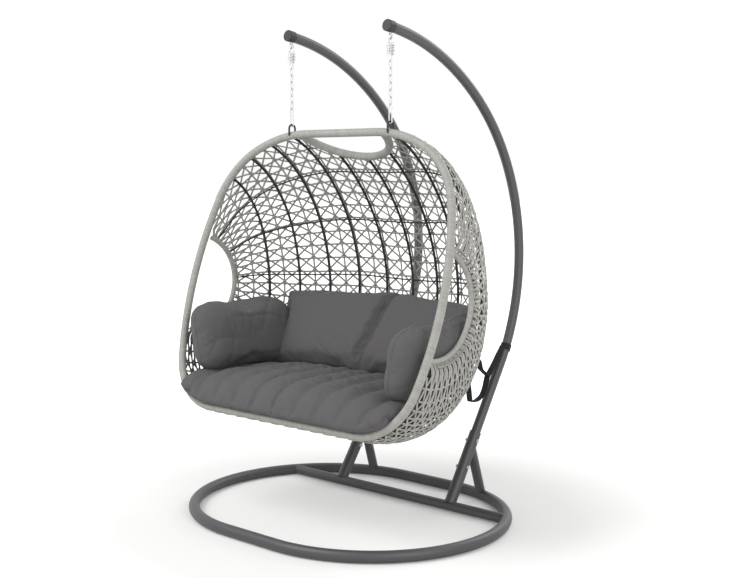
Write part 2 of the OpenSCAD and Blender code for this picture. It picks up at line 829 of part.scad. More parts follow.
// How far a straight cell side dips under the curved surface, at its most.
function dip(t) = let (edge = edge_a(t, hoop_off, hoop_d / 2 + soft_gap))
    max([for (i = [0 : skin_cols / 2 - 1])
        let (a0 = edge * 2 * i / skin_cols, a1 = edge * 2 * (i + 1) / skin_cols)
        norm((bowl(a0, t) + bowl(a1, t)) / 2 - bowl((a0 + a1) / 2, t))]);
skin_dip = max([for (t = hoop_ts) dip(t)]) - 4.5;
function skin_off(k) =
    hoop_off + hoop_d / 2 * cos(30) + soft_gap + skin_dip + skin_t / 2 + k * skin_t / 2;

// Corner angles [a, t] of the net, from the left side to the right and from the top down.
function skin_t_at(a, j, off, keep) =
    j == 0 ? start_t(a, off, keep, skin_room + keep) : j == rows ? end_t(a, off, keep) : row_t(j);
function skin_a_at(i, t, off, keep) = edge_a(t, off, keep) * (2 * i / skin_cols - 1);
skin_net = let (off = skin_off(0), keep = skin_t / 2 + soft_gap)
    [for (j = [0 : rows]) [for (i = [0 : skin_cols])
        let (a = skin_a_at(i, j == 0 ? 14 : j == rows ? 170 : row_t(j), off, keep))
        [a, skin_t_at(a, j, off, keep)]]];

// A point of the net at [i, j], moved in from its panel's border by the panels' gap.
function net_at(i, j) =
    let (i0 = min(skin_cols - 1, floor(i)), j0 = min(rows - 1, floor(j)), u = i - i0, v = j - j0)
    (1 - u) * (1 - v) * skin_net[j0][i0] + u * (1 - v) * skin_net[j0][i0 + 1]
        + (1 - u) * v * skin_net[j0 + 1][i0] + u * v * skin_net[j0 + 1][i0 + 1];

module skin_panel(i0, j0) {
    nc = panel_cols + 1;
    nr = panel_rows + 1;
    function at(u, v) = net_at(i0 + min(panel_cols - panel_gap, max(panel_gap, u)),
        j0 + min(panel_rows - panel_gap, max(panel_gap, v)));
    corners = [for (v = [0 : panel_rows]) for (u = [0 : panel_cols]) at(u, v)];
    h = skin_open / 2;
    holes = [for (v = [0 : panel_rows - 1]) for (u = [0 : panel_cols - 1])
        each [at(u + 0.5, v + 0.5 - h), at(u + 0.5 + h, v + 0.5), at(u + 0.5, v + 0.5 + h),
            at(u + 0.5 - h, v + 0.5)]];
    // Half-way points along the top border of the first row, where it passes the handle bar.
    tops = j0 > 0 ? [] : [for (u = [0 : panel_cols - 1])
        let (a = at(u + 0.5, 0)[0]) [a, skin_t_at(a, 0, skin_off(0), skin_t / 2 + soft_gap)]];
    marks = concat(corners, holes, tops);
    n = len(marks);
    top0 = nc * nr + 4 * panel_rows * panel_cols;
    points = [for (k = [1, -1]) for (m = marks) bowl_out(m[0], m[1], skin_off(k))];
    cells = [for (v = [0 : panel_rows - 1]) for (u = [0 : panel_cols - 1])
        let (a = v * nc + u, b = a + 1, c = b + nc, d = a + nc,
            q = nc * nr + 4 * (v * panel_cols + u), e = q + 1, f = q + 2, g = q + 3)
        each concat([[b, q, e], [b, e, c], [c, e, f], [c, f, d], [d, f, g], [d, g, a], [a, g, q]],
            v == 0 && j0 == 0 ? [[a, q, top0 + u], [top0 + u, q, b]] : [[a, q, b]])];
    inner = [for (f = cells) [f[0] + n, f[2] + n, f[1] + n]];
    rims = [for (k = [0 : panel_rows * panel_cols - 1]) for (s = [0 : 3])
        let (a = nc * nr + 4 * k + s, b = nc * nr + 4 * k + (s + 1) % 4)
        each [[a, a + n, b], [b, a + n, b + n]]];
    loop = concat([for (u = [0 : panel_cols - 1]) each j0 == 0 ? [u, top0 + u] : [u]],
        [for (v = [0 : panel_rows - 1]) v * nc + panel_cols],
        [for (u = [panel_cols : -1 : 1]) panel_rows * nc + u],
        [for (v = [panel_rows : -1 : 1]) v * nc]);
    walls = [for (k = [0 : len(loop) - 1])
        let (a = loop[k], b = loop[(k + 1) % len(loop)])
        each [[a, b, a + n], [b, b + n, a + n]]];
    polyhedron(points = points, faces = concat(cells, inner, rims, walls), convexity = 10);
}

module woven_skin() {
    color(wicker)
        for (j = [0 : panel_rows : rows - 1])
            for (i = [0 : panel_cols : skin_cols - 1]) skin_panel(i, j);
}

// ---------- cushions ----------
// A pillow is two grids of points that share their border, which is the seam.
module pillow(front, back) {
    nv = len(front) - 1;
    nu = len(front[0]) - 1;
    n = (nu + 1) * (nv + 1);
    points = concat([for (row = front) each row],
        [for (j = [1 : nv - 1]) for (i = [1 : nu - 1]) back[j][i]]);
    function rear(i, j) = i == 0 || j == 0 || i == nu || j == nv
        ? j * (nu + 1) + i : n + (j - 1) * (nu - 1) + i - 1;
    function level(i, j) = (i < nu / 2) == (j < nv / 2);
    fore = [for (j = [0 : nv - 1]) for (i = [0 : nu - 1])
        let (a = j * (nu + 1) + i, b = a + 1, c = b + nu + 1, d = a + nu + 1)
        each level(i, j) ? [[a, c, b], [a, d, c]] : [[a, d, b], [b, d, c]]];
    aft = [for (j = [0 : nv - 1]) for (i = [0 : nu - 1])
        let (a = rear(i, j), b = rear(i + 1, j), c = rear(i + 1, j + 1), d = rear(i, j + 1))
        each level(i, j) ? [[a, b, c], [a, c, d]] : [[a, b, d], [b, c, d]]];
    polyhedron(points = points, faces = concat(fore, aft), convexity = 6);
}

// Fullness of a pillow at [u, v], each from -1 to 1: 0 at the seam and 1 over the middle.
function puff(u, v, m) = pow((1 - pow(abs(u), m)) * (1 - pow(abs(v), m)), 0.5);
// Grid steps that lie closer together near the seams.
function spread(i, n) = sin(180 * i / n - 90) * 0.35 + (2 * i / n - 1) * 0.65;

// The seat rests on the rim's bottom and hangs into the bowl. v runs from the front to the back.
seat_cols = 30;
seat_rows = 14;
channels = 10;
channel_deep = 9;
rim_front = rim_y + rim_4[1] * sin(rim_lean);
seat_front = rim_front - 38;
seat_lift = 12;
function seat_half(v) = seat_w / 2 * (1 - 0.6 * pow(max(0, v), 3.2)) * (1 - 0.06 * pow(max(0, -v), 6));
function seat_xy(u, v) =
    [u * seat_half(v) * (1 - 0.015 * (1 - v * v)),
        seat_front + seat_d * (v + 1) / 2 + 34 * u * u * (v < 0 ? -v : 0)];
function rim_z(x) = rim_top_z + rim_low(abs(x)) * cos(rim_lean);
function rim_slope(x) = asin(min(0.9, max(0, abs(x) - rim_4[0]) / rim_r4));
function rest_at(x) = rim_z(x) + (wrap_d / 2 + soft_gap) / cos(rim_slope(x));
function floor_z(x, y, lo, hi, n) =
    let (a = asin(min(0.985, abs(x) / rim_w)), mid = (lo + hi) / 2, p = bowl(a, mid))
    n == 0 ? p[2] + (rib_d / 2 + seat_lift) / max(0.3, -bowl_normal(a, mid)[2]) :
    p[1] > y ? floor_z(x, y, mid, hi, n - 1) : floor_z(x, y, lo, mid, n - 1);
function seam_z(q) = max(rest_at(q[0]) + 14, q[1] < 0 ? 0 : floor_z(q[0], q[1], 90, 179, 16) + 3);
function crease(x) = 1 - pow(abs(sin(180 * x)), 0.6);
function seat_top(u, v) =
    let (q = seat_xy(u, v))
    [q[0], q[1], seam_z(q) + seat_t * puff(u, v, 4) - channel_deep * crease((u + 1) * channels / 2)
        * min(1, 3 * puff(u, v, 4))];
function seat_base(u, v) =
    let (q = seat_xy(u, v), low = floor_z(q[0], q[1], 90, 179, 16),
        flat = seam_z(q) - 70 * puff(u, v, 4))
    [q[0], q[1], q[1] < rim_front + 2 * wrap_d ? max(rest_at(q[0]), flat) : max(low, flat)];

module seat_cushion() {
    us = [for (i = [0 : seat_cols]) spread(i, seat_cols)];
    vs = [for (j = [0 : seat_rows]) spread(j, seat_rows)];
    color(fabric)
        pillow([for (v = vs) [for (u = us) seat_top(u, v)]],
            [for (v = vs) [for (u = us) seat_base(u, v)]]);
}

// The back cushion leans into the bowl, with its foot on the seat. v runs from the foot up.
back_cols = 30;
back_rows = 12;
back_foot = [74, 559.4];
back_curve = 110;
function back_at(u, v, side) =
    let (w = u * (1 - 0.03 * (1 - v * v)), h = v * (1 - 0.04 * (1 - u * u)),
        f = puff(u, v, 4) * back_t / 2 * side,
        seam = 10 * pow(max(0, 1 - abs(u) * 12), 2) * min(1, 3 * puff(u, v, 4)),
        out = side > 0 ? f - seam : f, s = back_h * (h + 1) / 2)
    [w * back_w / 2 * (1 - 0.04 * (1 - v) / 2),
        back_foot[0] + s * sin(back_lean) - out * cos(back_lean)
            - back_curve * u * u * (0.35 + 0.65 * (v + 1) / 2),
        back_foot[1] + s * cos(back_lean) + out * sin(back_lean)];

module back_cushion() {
    us = [for (i = [0 : back_cols]) spread(i, back_cols)];
    vs = [for (j = [0 : back_rows]) spread(j, back_rows)];
    color(fabric)
        pillow([for (v = vs) [for (u = us) back_at(u, v, 1)]],
            [for (v = vs) [for (u = us) back_at(u, v, -1)]]);
}

// A side pillow follows the bowl's side from the back cushion to the rim. u runs to the front.
bolster_cols = 18;
bolster_rows = 12;
bolster_r = 420;
bolster_x = side_x - side_d / 2 - soft_gap - 9.4;
bolster_y = -105;
bolster_z = 709.5;
bolster_lean = 10;
function bolster_at(u, v, side) =
    let (w = u * (1 - 0.03 * (1 - v * v)), h = v * (1 - 0.04 * (1 - u * u)) * bolster_h / 2,
        f = puff(u, v, 4) * bolster_t / 2 * side,
        b = w * bolster_l / 2 / bolster_r * 180 / PI + 10,
        x = bolster_x - bolster_t / 2 - bolster_r * (1 - cos(b)) + f * cos(b),
        y = bolster_y - bolster_r * sin(b) - f * sin(b))
    [x + h * sin(bolster_lean), y, bolster_z + h];

module bolster() {
    us = [for (i = [0 : bolster_cols]) spread(i, bolster_cols)];
    vs = [for (j = [0 : bolster_rows]) spread(j, bolster_rows)];
    pillow([for (v = vs) [for (u = us) bolster_at(u, v, -1)]],
        [for (v = vs) [for (u = us) bolster_at(u, v, 1)]]);
}

module bolster_left() {
    color(fabric) mirror([1, 0, 0]) bolster();
}

module bolster_right() {
    color(fabric) bolster();
}

// ---------- straps ----------
// Two webbing straps hold the basket's back to the arms while the chair stands.
strap_along = 66;
strap_from = walk([cross_y, base_z, arm_head],
    [[arm_straight], [bend_r1, strap_along / bend_r1 * 180 / PI]], 2);

module strap_bands() {
    color(black)
        for (side = [-1, 1])
            arm_plane(side)
                run_piece(strap_from, [bend_r1, strap_w / bend_r1 * 180 / PI],
                    arm_tube + 2 * fit_gap + 2 * strap_t, strap_t, 0);
}

// The strap's route in the YZ plane: from the band on the arm down to a joint, from there to the
// basket's back, and a slack lower loop. Round numbers, in the strap's own plane.
strap_x = 290;
strap_down = [[670, 642.7], [663.2, 631], [642, 610], [606, 568], [556, 518], [542, 473], [521, 442], [479, 427], [437, 429],
    [428, 485], [420, 520]];
strap_across = [[558, 524], [509, 559], [498, 594], [470, 620], [400, 672]];

// A band of webbing along a route, as thick as the webbing and closed at its ends.
function side_step(p, k) =
    let (a = p[max(0, k - 1)], b = p[min(len(p) - 1, k + 1)], d = b - a) [-d[1], d[0]] / norm(d);
module webbing(route) {
    n = len(route);
    rotate([90, 0, 90])
        linear_extrude(strap_w)
            polygon(concat(
                [for (k = [0 : n - 1]) route[k] + strap_t / 2 * side_step(route, k)],
                [for (k = [n - 1 : -1 : 0]) route[k] - strap_t / 2 * side_step(route, k)]));
}

module strap(side) {
    color(black)
        mirror([side < 0 ? 1 : 0, 0, 0])
            translate([strap_x - strap_w / 2, 0, 0]) {
                webbing(strap_down);
                webbing(strap_across);
            }
}

module strap_left() strap(-1);
module strap_right() strap(1);

base_ring();
cross_tube();
post_left();
post_right();
brace_left();
brace_right();
arm_left();
arm_right();
end_caps();
post_bolts();
post_nuts();
eye_bolts();
eye_nuts();
strap_bands();
strap_left();
strap_right();
spring_bars_upper();
spring_coil_left();
spring_coil_right();
spring_bars_lower();
chain_left();
chain_right();
end_links();
rim_tube_frame();
rim_wrap();
handle_tube();
handle_wrap();
hang_loops();
ribs();
hoops();
side_bars();
woven_skin();
seat_cushion();
back_cushion();
bolster_left();
bolster_right();
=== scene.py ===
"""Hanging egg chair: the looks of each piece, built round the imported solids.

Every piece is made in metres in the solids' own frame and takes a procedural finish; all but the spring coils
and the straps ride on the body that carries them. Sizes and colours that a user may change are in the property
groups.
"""

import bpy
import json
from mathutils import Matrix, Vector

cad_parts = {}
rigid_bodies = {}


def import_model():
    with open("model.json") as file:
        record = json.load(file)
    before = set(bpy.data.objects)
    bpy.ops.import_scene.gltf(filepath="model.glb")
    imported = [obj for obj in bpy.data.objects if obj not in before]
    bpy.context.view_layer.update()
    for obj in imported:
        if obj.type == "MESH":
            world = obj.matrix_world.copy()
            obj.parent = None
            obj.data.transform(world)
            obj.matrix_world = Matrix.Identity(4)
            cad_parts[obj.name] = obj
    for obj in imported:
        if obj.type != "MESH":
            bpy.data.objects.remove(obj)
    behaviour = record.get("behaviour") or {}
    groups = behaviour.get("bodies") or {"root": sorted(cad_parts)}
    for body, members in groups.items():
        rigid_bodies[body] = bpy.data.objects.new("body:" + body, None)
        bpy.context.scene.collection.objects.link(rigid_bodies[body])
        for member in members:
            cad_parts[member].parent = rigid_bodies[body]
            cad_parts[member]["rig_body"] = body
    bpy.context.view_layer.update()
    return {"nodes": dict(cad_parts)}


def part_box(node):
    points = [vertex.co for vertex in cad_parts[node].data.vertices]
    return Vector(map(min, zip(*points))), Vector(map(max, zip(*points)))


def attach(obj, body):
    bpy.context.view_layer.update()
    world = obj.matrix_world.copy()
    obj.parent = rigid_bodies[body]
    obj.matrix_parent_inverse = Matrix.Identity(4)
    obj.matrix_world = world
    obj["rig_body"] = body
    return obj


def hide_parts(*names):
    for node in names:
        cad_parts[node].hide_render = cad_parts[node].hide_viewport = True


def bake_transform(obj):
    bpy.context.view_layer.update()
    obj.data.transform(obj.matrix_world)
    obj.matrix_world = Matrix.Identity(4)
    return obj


bl_info = {
    "name": "Hanging Egg Chair",
    "version": (1, 0, 0),
    "blender": (4, 5, 0),
    "location": "3D View > Sidebar > Egg Chair",
    "description": "Builds the weave, the wound bars, the springs, the straps and the cushions",
    "category": "Object",
}

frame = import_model()

import json
import math

import bmesh
import bpy
import numpy as np
from bpy.props import FloatProperty, FloatVectorProperty, IntProperty, PointerProperty
from mathutils import Matrix, Vector
from mathutils.bvhtree import BVHTree

DEG = math.pi / 180

# ---------------------------------------------------------------- basket surface, in millimetres
# The rim is a closed run of four arcs a side in a leaning plane, and the bowl hangs behind it.
RIM_LEAN = 17.7
RIM_Y = -41.548
RIM_TOP_Z = 1535.0
RIM_FLAT = 187.0
RIM_R = (563.0, 353.0, 1378.0, 240.0)
RIM_A = (26.85, 48.42, 28.37)
WRAP_D = 32.0
BOWL_DEPTH = 650.0
HANDLE_R = 225.0
HANDLE_BACK = -33.0
HANDLE_DIP = 28.0
SIDE_X = 640.0
SIDE_Z = 919.0
SIDE_R = 198.6
SIDE_D = 22.0
ROD_D = 11.0
HOOP_D = 6.0
HOOP_ROWS = (26, 51, 77, 101, 124, 148)
HANG = (264.0, -43.156)

# The weave: angle between rows, how far strands lie out and sway, how near they run to a bar, and the
# girth angles from which columns and rows are doubled.
ROW_STEP = 6.3
STRAND_OUT = 15.5
STRAND_WAVE = 1.4
SLANT_WAVE = 1.6
WEAVE_KEEP = -6.0
DENSE_FROM = (36.0, 30.0)


def cosd(a):
    return np.cos(np.asarray(a, float) * DEG)


def sind(a):
    return np.sin(np.asarray(a, float) * DEG)


def rim_arcs():
    """Centres and ends of the rim's arcs on the right side, in the rim's plane."""
    a = np.cumsum((0.0,) + RIM_A + (180 - sum(RIM_A),))
    centres, ends, p = [], [], np.array([RIM_FLAT, 0.0])
    for r, a0, a1 in zip(RIM_R, a[:-1], a[1:]):
        c = p - r * np.array([sind(a0), cosd(a0)])
        p = c + r * np.array([sind(a1), cosd(a1)])
        centres.append(c)
        ends.append(p)
    return centres, ends, a


ARC_C, ARC_P, ARC_A = rim_arcs()
RIM_W = ARC_C[2][0] + RIM_R[2]
SIDE_Y = RIM_Y - (RIM_TOP_Z - SIDE_Z) * math.tan(RIM_LEAN * DEG) + 9.7
HANDLE_END = math.sqrt(HANDLE_R ** 2 - HANDLE_BACK ** 2)


def rim_top(x):
    def arc(k):
        return ARC_C[k][1] + np.sqrt(np.maximum(0, RIM_R[k] ** 2 - (x - ARC_C[k][0]) ** 2))
    return np.select([x <= RIM_FLAT, x <= ARC_P[0][0], x <= ARC_P[1][0]], [0 * x, arc(0), arc(1)], arc(2))


def rim_low(x):
    def arc(k):
        return ARC_C[k][1] - np.sqrt(np.maximum(0, RIM_R[k] ** 2 - (x - ARC_C[k][0]) ** 2))
    return np.select([x <= ARC_P[3][0], x <= ARC_P[2][0]], [ARC_P[3][1] + 0 * x, arc(3)], arc(2))


def bowl(a, t):
    """Points of the basket at girth angles a and round-the-back angles t, in millimetres."""
    a, t = np.broadcast_arrays(np.asarray(a, float), np.asarray(t, float))
    ease = np.clip((t - 60) / 60, 0, 1)
    q = 2.12 + 0.28 * ease * ease * (3 - 2 * ease)
    p = np.where(t < 90, 1.70, 2.30)
    x, u, c, s = RIM_W * sind(a), np.abs(sind(a)), cosd(t), sind(t)
    depth = BOWL_DEPTH * np.maximum(0, 1 - u ** q) ** (1 / q)
    top, low = rim_top(np.abs(x)), rim_low(np.abs(x))
    r = (np.abs(c) ** p + np.abs(s) ** p) ** (-1 / p)
    v, n = (top + low) / 2 + (top - low) / 2 * r * c, depth * r * s
    return np.stack([x, RIM_Y + v * sind(RIM_LEAN) + n * cosd(RIM_LEAN),
                     RIM_TOP_Z + v * cosd(RIM_LEAN) - n * sind(RIM_LEAN)], -1)


def bowl_normal(a, t):
    d = 0.5
    n = np.cross(bowl(np.add(a, d), t) - bowl(np.subtract(a, d), t),
                 bowl(a, np.add(t, d)) - bowl(a, np.subtract(t, d)))
    return n / np.maximum(1e-9, np.linalg.norm(n, axis=-1, keepdims=True))


def in_weave(p, keep):
    """Whether points lie behind the rim, past the handle bar and outside the side openings."""
    x, y, z = np.abs(p[:, 0]), p[:, 1] - RIM_Y, p[:, 2] - RIM_TOP_Z
    ok = y * cosd(RIM_LEAN) - z * sind(RIM_LEAN) > WRAP_D / 2 + keep
    w, h = y * cosd(HANDLE_DIP) - z * sind(HANDLE_DIP), y * sind(HANDLE_DIP) + z * cosd(HANDLE_DIP)
    ok &= (x > HANDLE_END) | (h < -60) | (np.hypot(x, w - HANDLE_BACK) > HANDLE_R + WRAP_D / 2 + keep)
    ok &= (x < 500) | (np.hypot(p[:, 1] - SIDE_Y, p[:, 2] - SIDE_Z) > SIDE_R + SIDE_D / 2 + keep)
    return ok


# ---------------------------------------------------------------- shader groups and materials
def shader_group(name, inputs, outputs):
    """An empty shader node group with float or colour sockets, and its input and output nodes."""
    g = bpy.data.node_groups.new(name, "ShaderNodeTree")
    for n, kind, value in inputs:
        s = g.interface.new_socket(n, in_out="INPUT", socket_type="NodeSocket" + kind)
        if value is not None:
            s.default_value = value
    for n, kind in outputs:
        g.interface.new_socket(n, in_out="OUTPUT", socket_type="NodeSocket" + kind)
    return g, g.nodes.new("NodeGroupInput"), g.nodes.new("NodeGroupOutput")


def node(tree, kind, links=(), **values):
    """A node with its settings and socket values; links are (input, output socket) pairs."""
    n = tree.nodes.new(kind)
    for key, value in values.items():
        if hasattr(n, key) and key not in n.inputs:
            setattr(n, key, value)
    for key, value in values.items():
        if key in n.inputs:
            n.inputs[key].default_value = value
    for key, out in links:
        tree.links.new(out, n.inputs[key])
    return n


def math_node(tree, op, a, b=None, clamp=False, c=None):
    n = tree.nodes.new("ShaderNodeMath")
    n.operation, n.use_clamp = op, clamp
    for k, v in enumerate((a, b, c)):
        if v is None:
            continue
        if isinstance(v, (int, float)):
            n.inputs[k].default_value = v
        else:
            tree.links.new(v, n.inputs[k])
    return n.outputs[0]


def mix_colour(tree, fac, a, b):
    n = tree.nodes.new("ShaderNodeMix")
    n.data_type = "RGBA"
    for socket, v in ((n.inputs[0], fac), (n.inputs[6], a), (n.inputs[7], b)):
        if isinstance(v, (int, float, tuple, list)):
            socket.default_value = v
        else:
            tree.links.new(v, socket)
    return n.outputs[2]


def build_mottle():
    """Slow and fine unevenness: a value for colour and one for height."""
    g, i, o = shader_group("mottle",
                           [("Vector", "Vector", None), ("Broad", "Float", 6.0), ("Fine", "Float", 300.0)],
                           [("Tone", "Float"), ("Grain", "Float")])
    broad = node(g, "ShaderNodeTexNoise", [("Vector", i.outputs[0]), ("Scale", i.outputs[1])], Detail=3.0)
    fine = node(g, "ShaderNodeTexNoise", [("Vector", i.outputs[0]), ("Scale", i.outputs[2])], Detail=2.0)
    g.links.new(broad.outputs[0], o.inputs[0])
    g.links.new(fine.outputs[0], o.inputs[1])
    return g


def build_scuffs():
    """Faint rubbed streaks, as handling leaves on paint and plating."""
    g, i, o = shader_group("scuffs",
                           [("Vector", "Vector", None), ("Scale", "Float", 30.0), ("Amount", "Float", 0.3)],
                           [("Mask", "Float")])
    warp = node(g, "ShaderNodeTexNoise", [("Vector", i.outputs[0])], Scale=4.0, Detail=2.0)
    squeeze = node(g, "ShaderNodeMapping", [("Vector", i.outputs[0])], Scale=(1.0, 1.0, 0.12))
    streak = node(g, "ShaderNodeTexNoise", [("Vector", squeeze.outputs[0]), ("Scale", i.outputs[1])],
                  Detail=6.0)
    cut = math_node(g, "SUBTRACT", streak.outputs[0], 0.58)
    cut = math_node(g, "MULTIPLY", cut, 6.0, True)
    cut = math_node(g, "MULTIPLY", cut, warp.outputs[0])
    g.links.new(math_node(g, "MULTIPLY", cut, i.outputs[2], True), o.inputs[0])
    return g


def build_threads():
    """Plain-weave cloth: crossing threads as a height, and a salt-and-pepper thread tone."""
    g, i, o = shader_group("threads", [("Vector", "Vector", None), ("Count", "Float", 900.0)],
                           [("Height", "Float"), ("Tone", "Float")])
    sep = node(g, "ShaderNodeSeparateXYZ", [("Vector", i.outputs[0])])
    up = math_node(g, "ADD", sep.outputs[1], sep.outputs[2])
    warp = math_node(g, "SINE", math_node(g, "MULTIPLY", sep.outputs[0], i.outputs[1]))
    weft = math_node(g, "SINE", math_node(g, "MULTIPLY", up, i.outputs[1]))
    both = math_node(g, "MULTIPLY", warp, weft)
    g.links.new(math_node(g, "MULTIPLY_ADD", both, 0.5), o.inputs[0])
    speck = node(g, "ShaderNodeTexNoise", [("Vector", i.outputs[0])], Scale=700.0, Detail=2.0)
    g.links.new(speck.outputs[0], o.inputs[1])
    return g


def build_strand_lines():
    """Fine grooves round a strand of plastic cane, and painted shade in the gap between two turns."""
    g, i, o = shader_group("strand_lines", [("Vector", "Vector", None), ("Groove", "Float", 0.0)],
                           [("Height", "Float"), ("Dark", "Float")])
    fine = node(g, "ShaderNodeTexNoise", [("Vector", i.outputs[0])], Scale=520.0, Detail=3.0)
    g.links.new(fine.outputs[0], o.inputs[0])
    # Painted shade: darkest in the gap between two wound turns.
    dark = math_node(g, "POWER", i.outputs[1], 2.5)
    g.links.new(dark, o.inputs[1])
    return g


def new_material(name):
    m = bpy.data.materials.new(name)
    m.use_nodes = True
    t = m.node_tree
    t.nodes.clear()
    out = t.nodes.new("ShaderNodeOutputMaterial")
    bsdf = t.nodes.new("ShaderNodeBsdfPrincipled")
    t.links.new(bsdf.outputs[0], out.inputs[0])
    coord = t.nodes.new("ShaderNodeTexCoord")
    return m, t, bsdf, coord.outputs["Object"]


def place_group(tree, name, links=(), **values):
    n = tree.nodes.new("ShaderNodeGroup")
    n.node_tree = bpy.data.node_groups[name]
    for key, value in values.items():
        n.inputs[key].default_value = value
    for key, out in links:
        tree.links.new(out, n.inputs[key])
    return n


def bump(tree, bsdf, height, strength, distance):
    b = node(tree, "ShaderNodeBump", [("Height", height)], Strength=strength, Distance=distance)
    tree.links.new(b.outputs[0], bsdf.inputs["Normal"])


def shade(colour, k):
    return (colour[0] * k, colour[1] * k, colour[2] * k, 1.0)


def painted_metal(name, colour, rough, fine=420.0, streaks=0.25, metallic=0.0, spec=0.5):
    m, t, b, v = new_material(name)
    mottle = place_group(t, "mottle", [("Vector", v)], Broad=5.0, Fine=fine)
    scuff = place_group(t, "scuffs", [("Vector", v)], Scale=26.0, Amount=streaks)
    base = mix_colour(t, mottle.outputs[0], shade(colour, 0.86), shade(colour, 1.14))
    t.links.new(mix_colour(t, scuff.outputs[0], base, shade(colour, 1.7)), b.inputs["Base Color"])
    dull = math_node(t, "MULTIPLY_ADD", mottle.outputs[0], 0.12, c=rough - 0.06)
    rubbed = math_node(t, "MULTIPLY", scuff.outputs[0], 0.15)
    t.links.new(math_node(t, "SUBTRACT", dull, rubbed), b.inputs["Roughness"])
    b.inputs["Metallic"].default_value = metallic
    b.inputs["Specular IOR Level"].default_value = spec
    bump(t, b, mottle.outputs[1], 0.12, 0.0004)
    return m


def cane(name, colour):
    """Matt plastic cane: each strand or turn a little lighter or darker, fine grooves, and painted shade in the
    gaps between wound turns.
    """
    m, t, b, v = new_material(name)
    tone = node(t, "ShaderNodeAttribute", attribute_name="tone")
    groove = node(t, "ShaderNodeAttribute", attribute_name="groove")
    mottle = place_group(t, "mottle", [("Vector", v)], Broad=14.0, Fine=260.0)
    lines = place_group(t, "strand_lines", [("Vector", v), ("Groove", groove.outputs["Fac"])])
    each = mix_colour(t, tone.outputs["Fac"], shade(colour, 0.80), shade(colour, 1.10))
    uneven = mix_colour(t, mottle.outputs[0], each, shade(colour, 0.95))
    # Painted shade: the gaps between wound turns darken towards 0.42 of the cane colour.
    t.links.new(mix_colour(t, lines.outputs[1], uneven, shade(colour, 0.42)), b.inputs["Base Color"])
    t.links.new(math_node(t, "MULTIPLY_ADD", mottle.outputs[1], 0.2, c=0.42), b.inputs["Roughness"])
    bump(t, b, lines.outputs[0], 0.25, 0.0006)
    return m


def cushion_cloth(name, colour):
    """Dense matt outdoor cloth with a faint two-tone thread and a soft sheen."""
    m, t, b, v = new_material(name)
    threads = place_group(t, "threads", [("Vector", v)], Count=1500.0)
    mottle = place_group(t, "mottle", [("Vector", v)], Broad=9.0, Fine=420.0)
    base = mix_colour(t, threads.outputs[1], shade(colour, 0.80), shade(colour, 1.22))
    t.links.new(mix_colour(t, mottle.outputs[0], base, shade(colour, 1.0)), b.inputs["Base Color"])
    b.inputs["Roughness"].default_value = 0.86
    b.inputs["Specular IOR Level"].default_value = 0.28
    b.inputs["Sheen Weight"].default_value = 0.22
    b.inputs["Sheen Roughness"].default_value = 0.45
    height = math_node(t, "ADD", threads.outputs[0], math_node(t, "MULTIPLY", mottle.outputs[1], 0.9))
    bump(t, b, height, 0.28, 0.0005)
    return m


def webbing(name, colour):
    """Woven polyester band: ribs across the band, a slightly glossy yarn, and painted shade and highlight that
    darken the rib hollows and lighten the crests.
    """
    m, t, b, v = new_material(name)
    threads = place_group(t, "threads", [("Vector", v)], Count=2600.0)
    mottle = place_group(t, "mottle", [("Vector", v)], Broad=20.0, Fine=500.0)
    # Painted shade and highlight: the colour follows the rib height, 0.7 in the hollows to 1.6 on the crests.
    base = mix_colour(t, threads.outputs[0], shade(colour, 0.7), shade(colour, 1.6))
    t.links.new(base, b.inputs["Base Color"])
    t.links.new(math_node(t, "MULTIPLY_ADD", mottle.outputs[0], 0.2, c=0.52), b.inputs["Roughness"])
    bump(t, b, threads.outputs[0], 0.4, 0.0006)
    return m


# ---------------------------------------------------------------- geometry nodes
def geometry_tree(name, inputs):
    g = bpy.data.node_groups.new(name, "GeometryNodeTree")
    g.interface.new_socket("Geometry", in_out="INPUT", socket_type="NodeSocketGeometry")
    for n, kind, value in inputs:
        s = g.interface.new_socket(n, in_out="INPUT", socket_type="NodeSocket" + kind)
        if value is not None:
            s.default_value = value
    g.interface.new_socket("Geometry", in_out="OUTPUT", socket_type="NodeSocketGeometry")
    return g, g.nodes.new("NodeGroupInput"), g.nodes.new("NodeGroupOutput")


def named(g, name, kind="FLOAT"):
    return node(g, "GeometryNodeInputNamedAttribute", data_type=kind, Name=name).outputs[0]


def keep_as(g, geometry, name, value, domain="POINT"):
    n = node(g, "GeometryNodeStoreNamedAttribute", data_type="FLOAT", domain=domain, Name=name)
    g.links.new(geometry, n.inputs["Geometry"])
    g.links.new(value, n.inputs["Value"])
    return n.outputs[0]


def close_tree(g, i, o, geometry, smooth=True):
    sm = node(g, "GeometryNodeSetShadeSmooth", [("Geometry", geometry)])
    sm.inputs["Shade Smooth"].default_value = smooth
    real = node(g, "GeometryNodeRealizeInstances", [("Geometry", sm.outputs[0])])
    paint = node(g, "GeometryNodeSetMaterial",
                 [("Geometry", real.outputs[0]), ("Material", i.outputs["Material"])])
    g.links.new(paint.outputs[0], o.inputs[0])
    return g


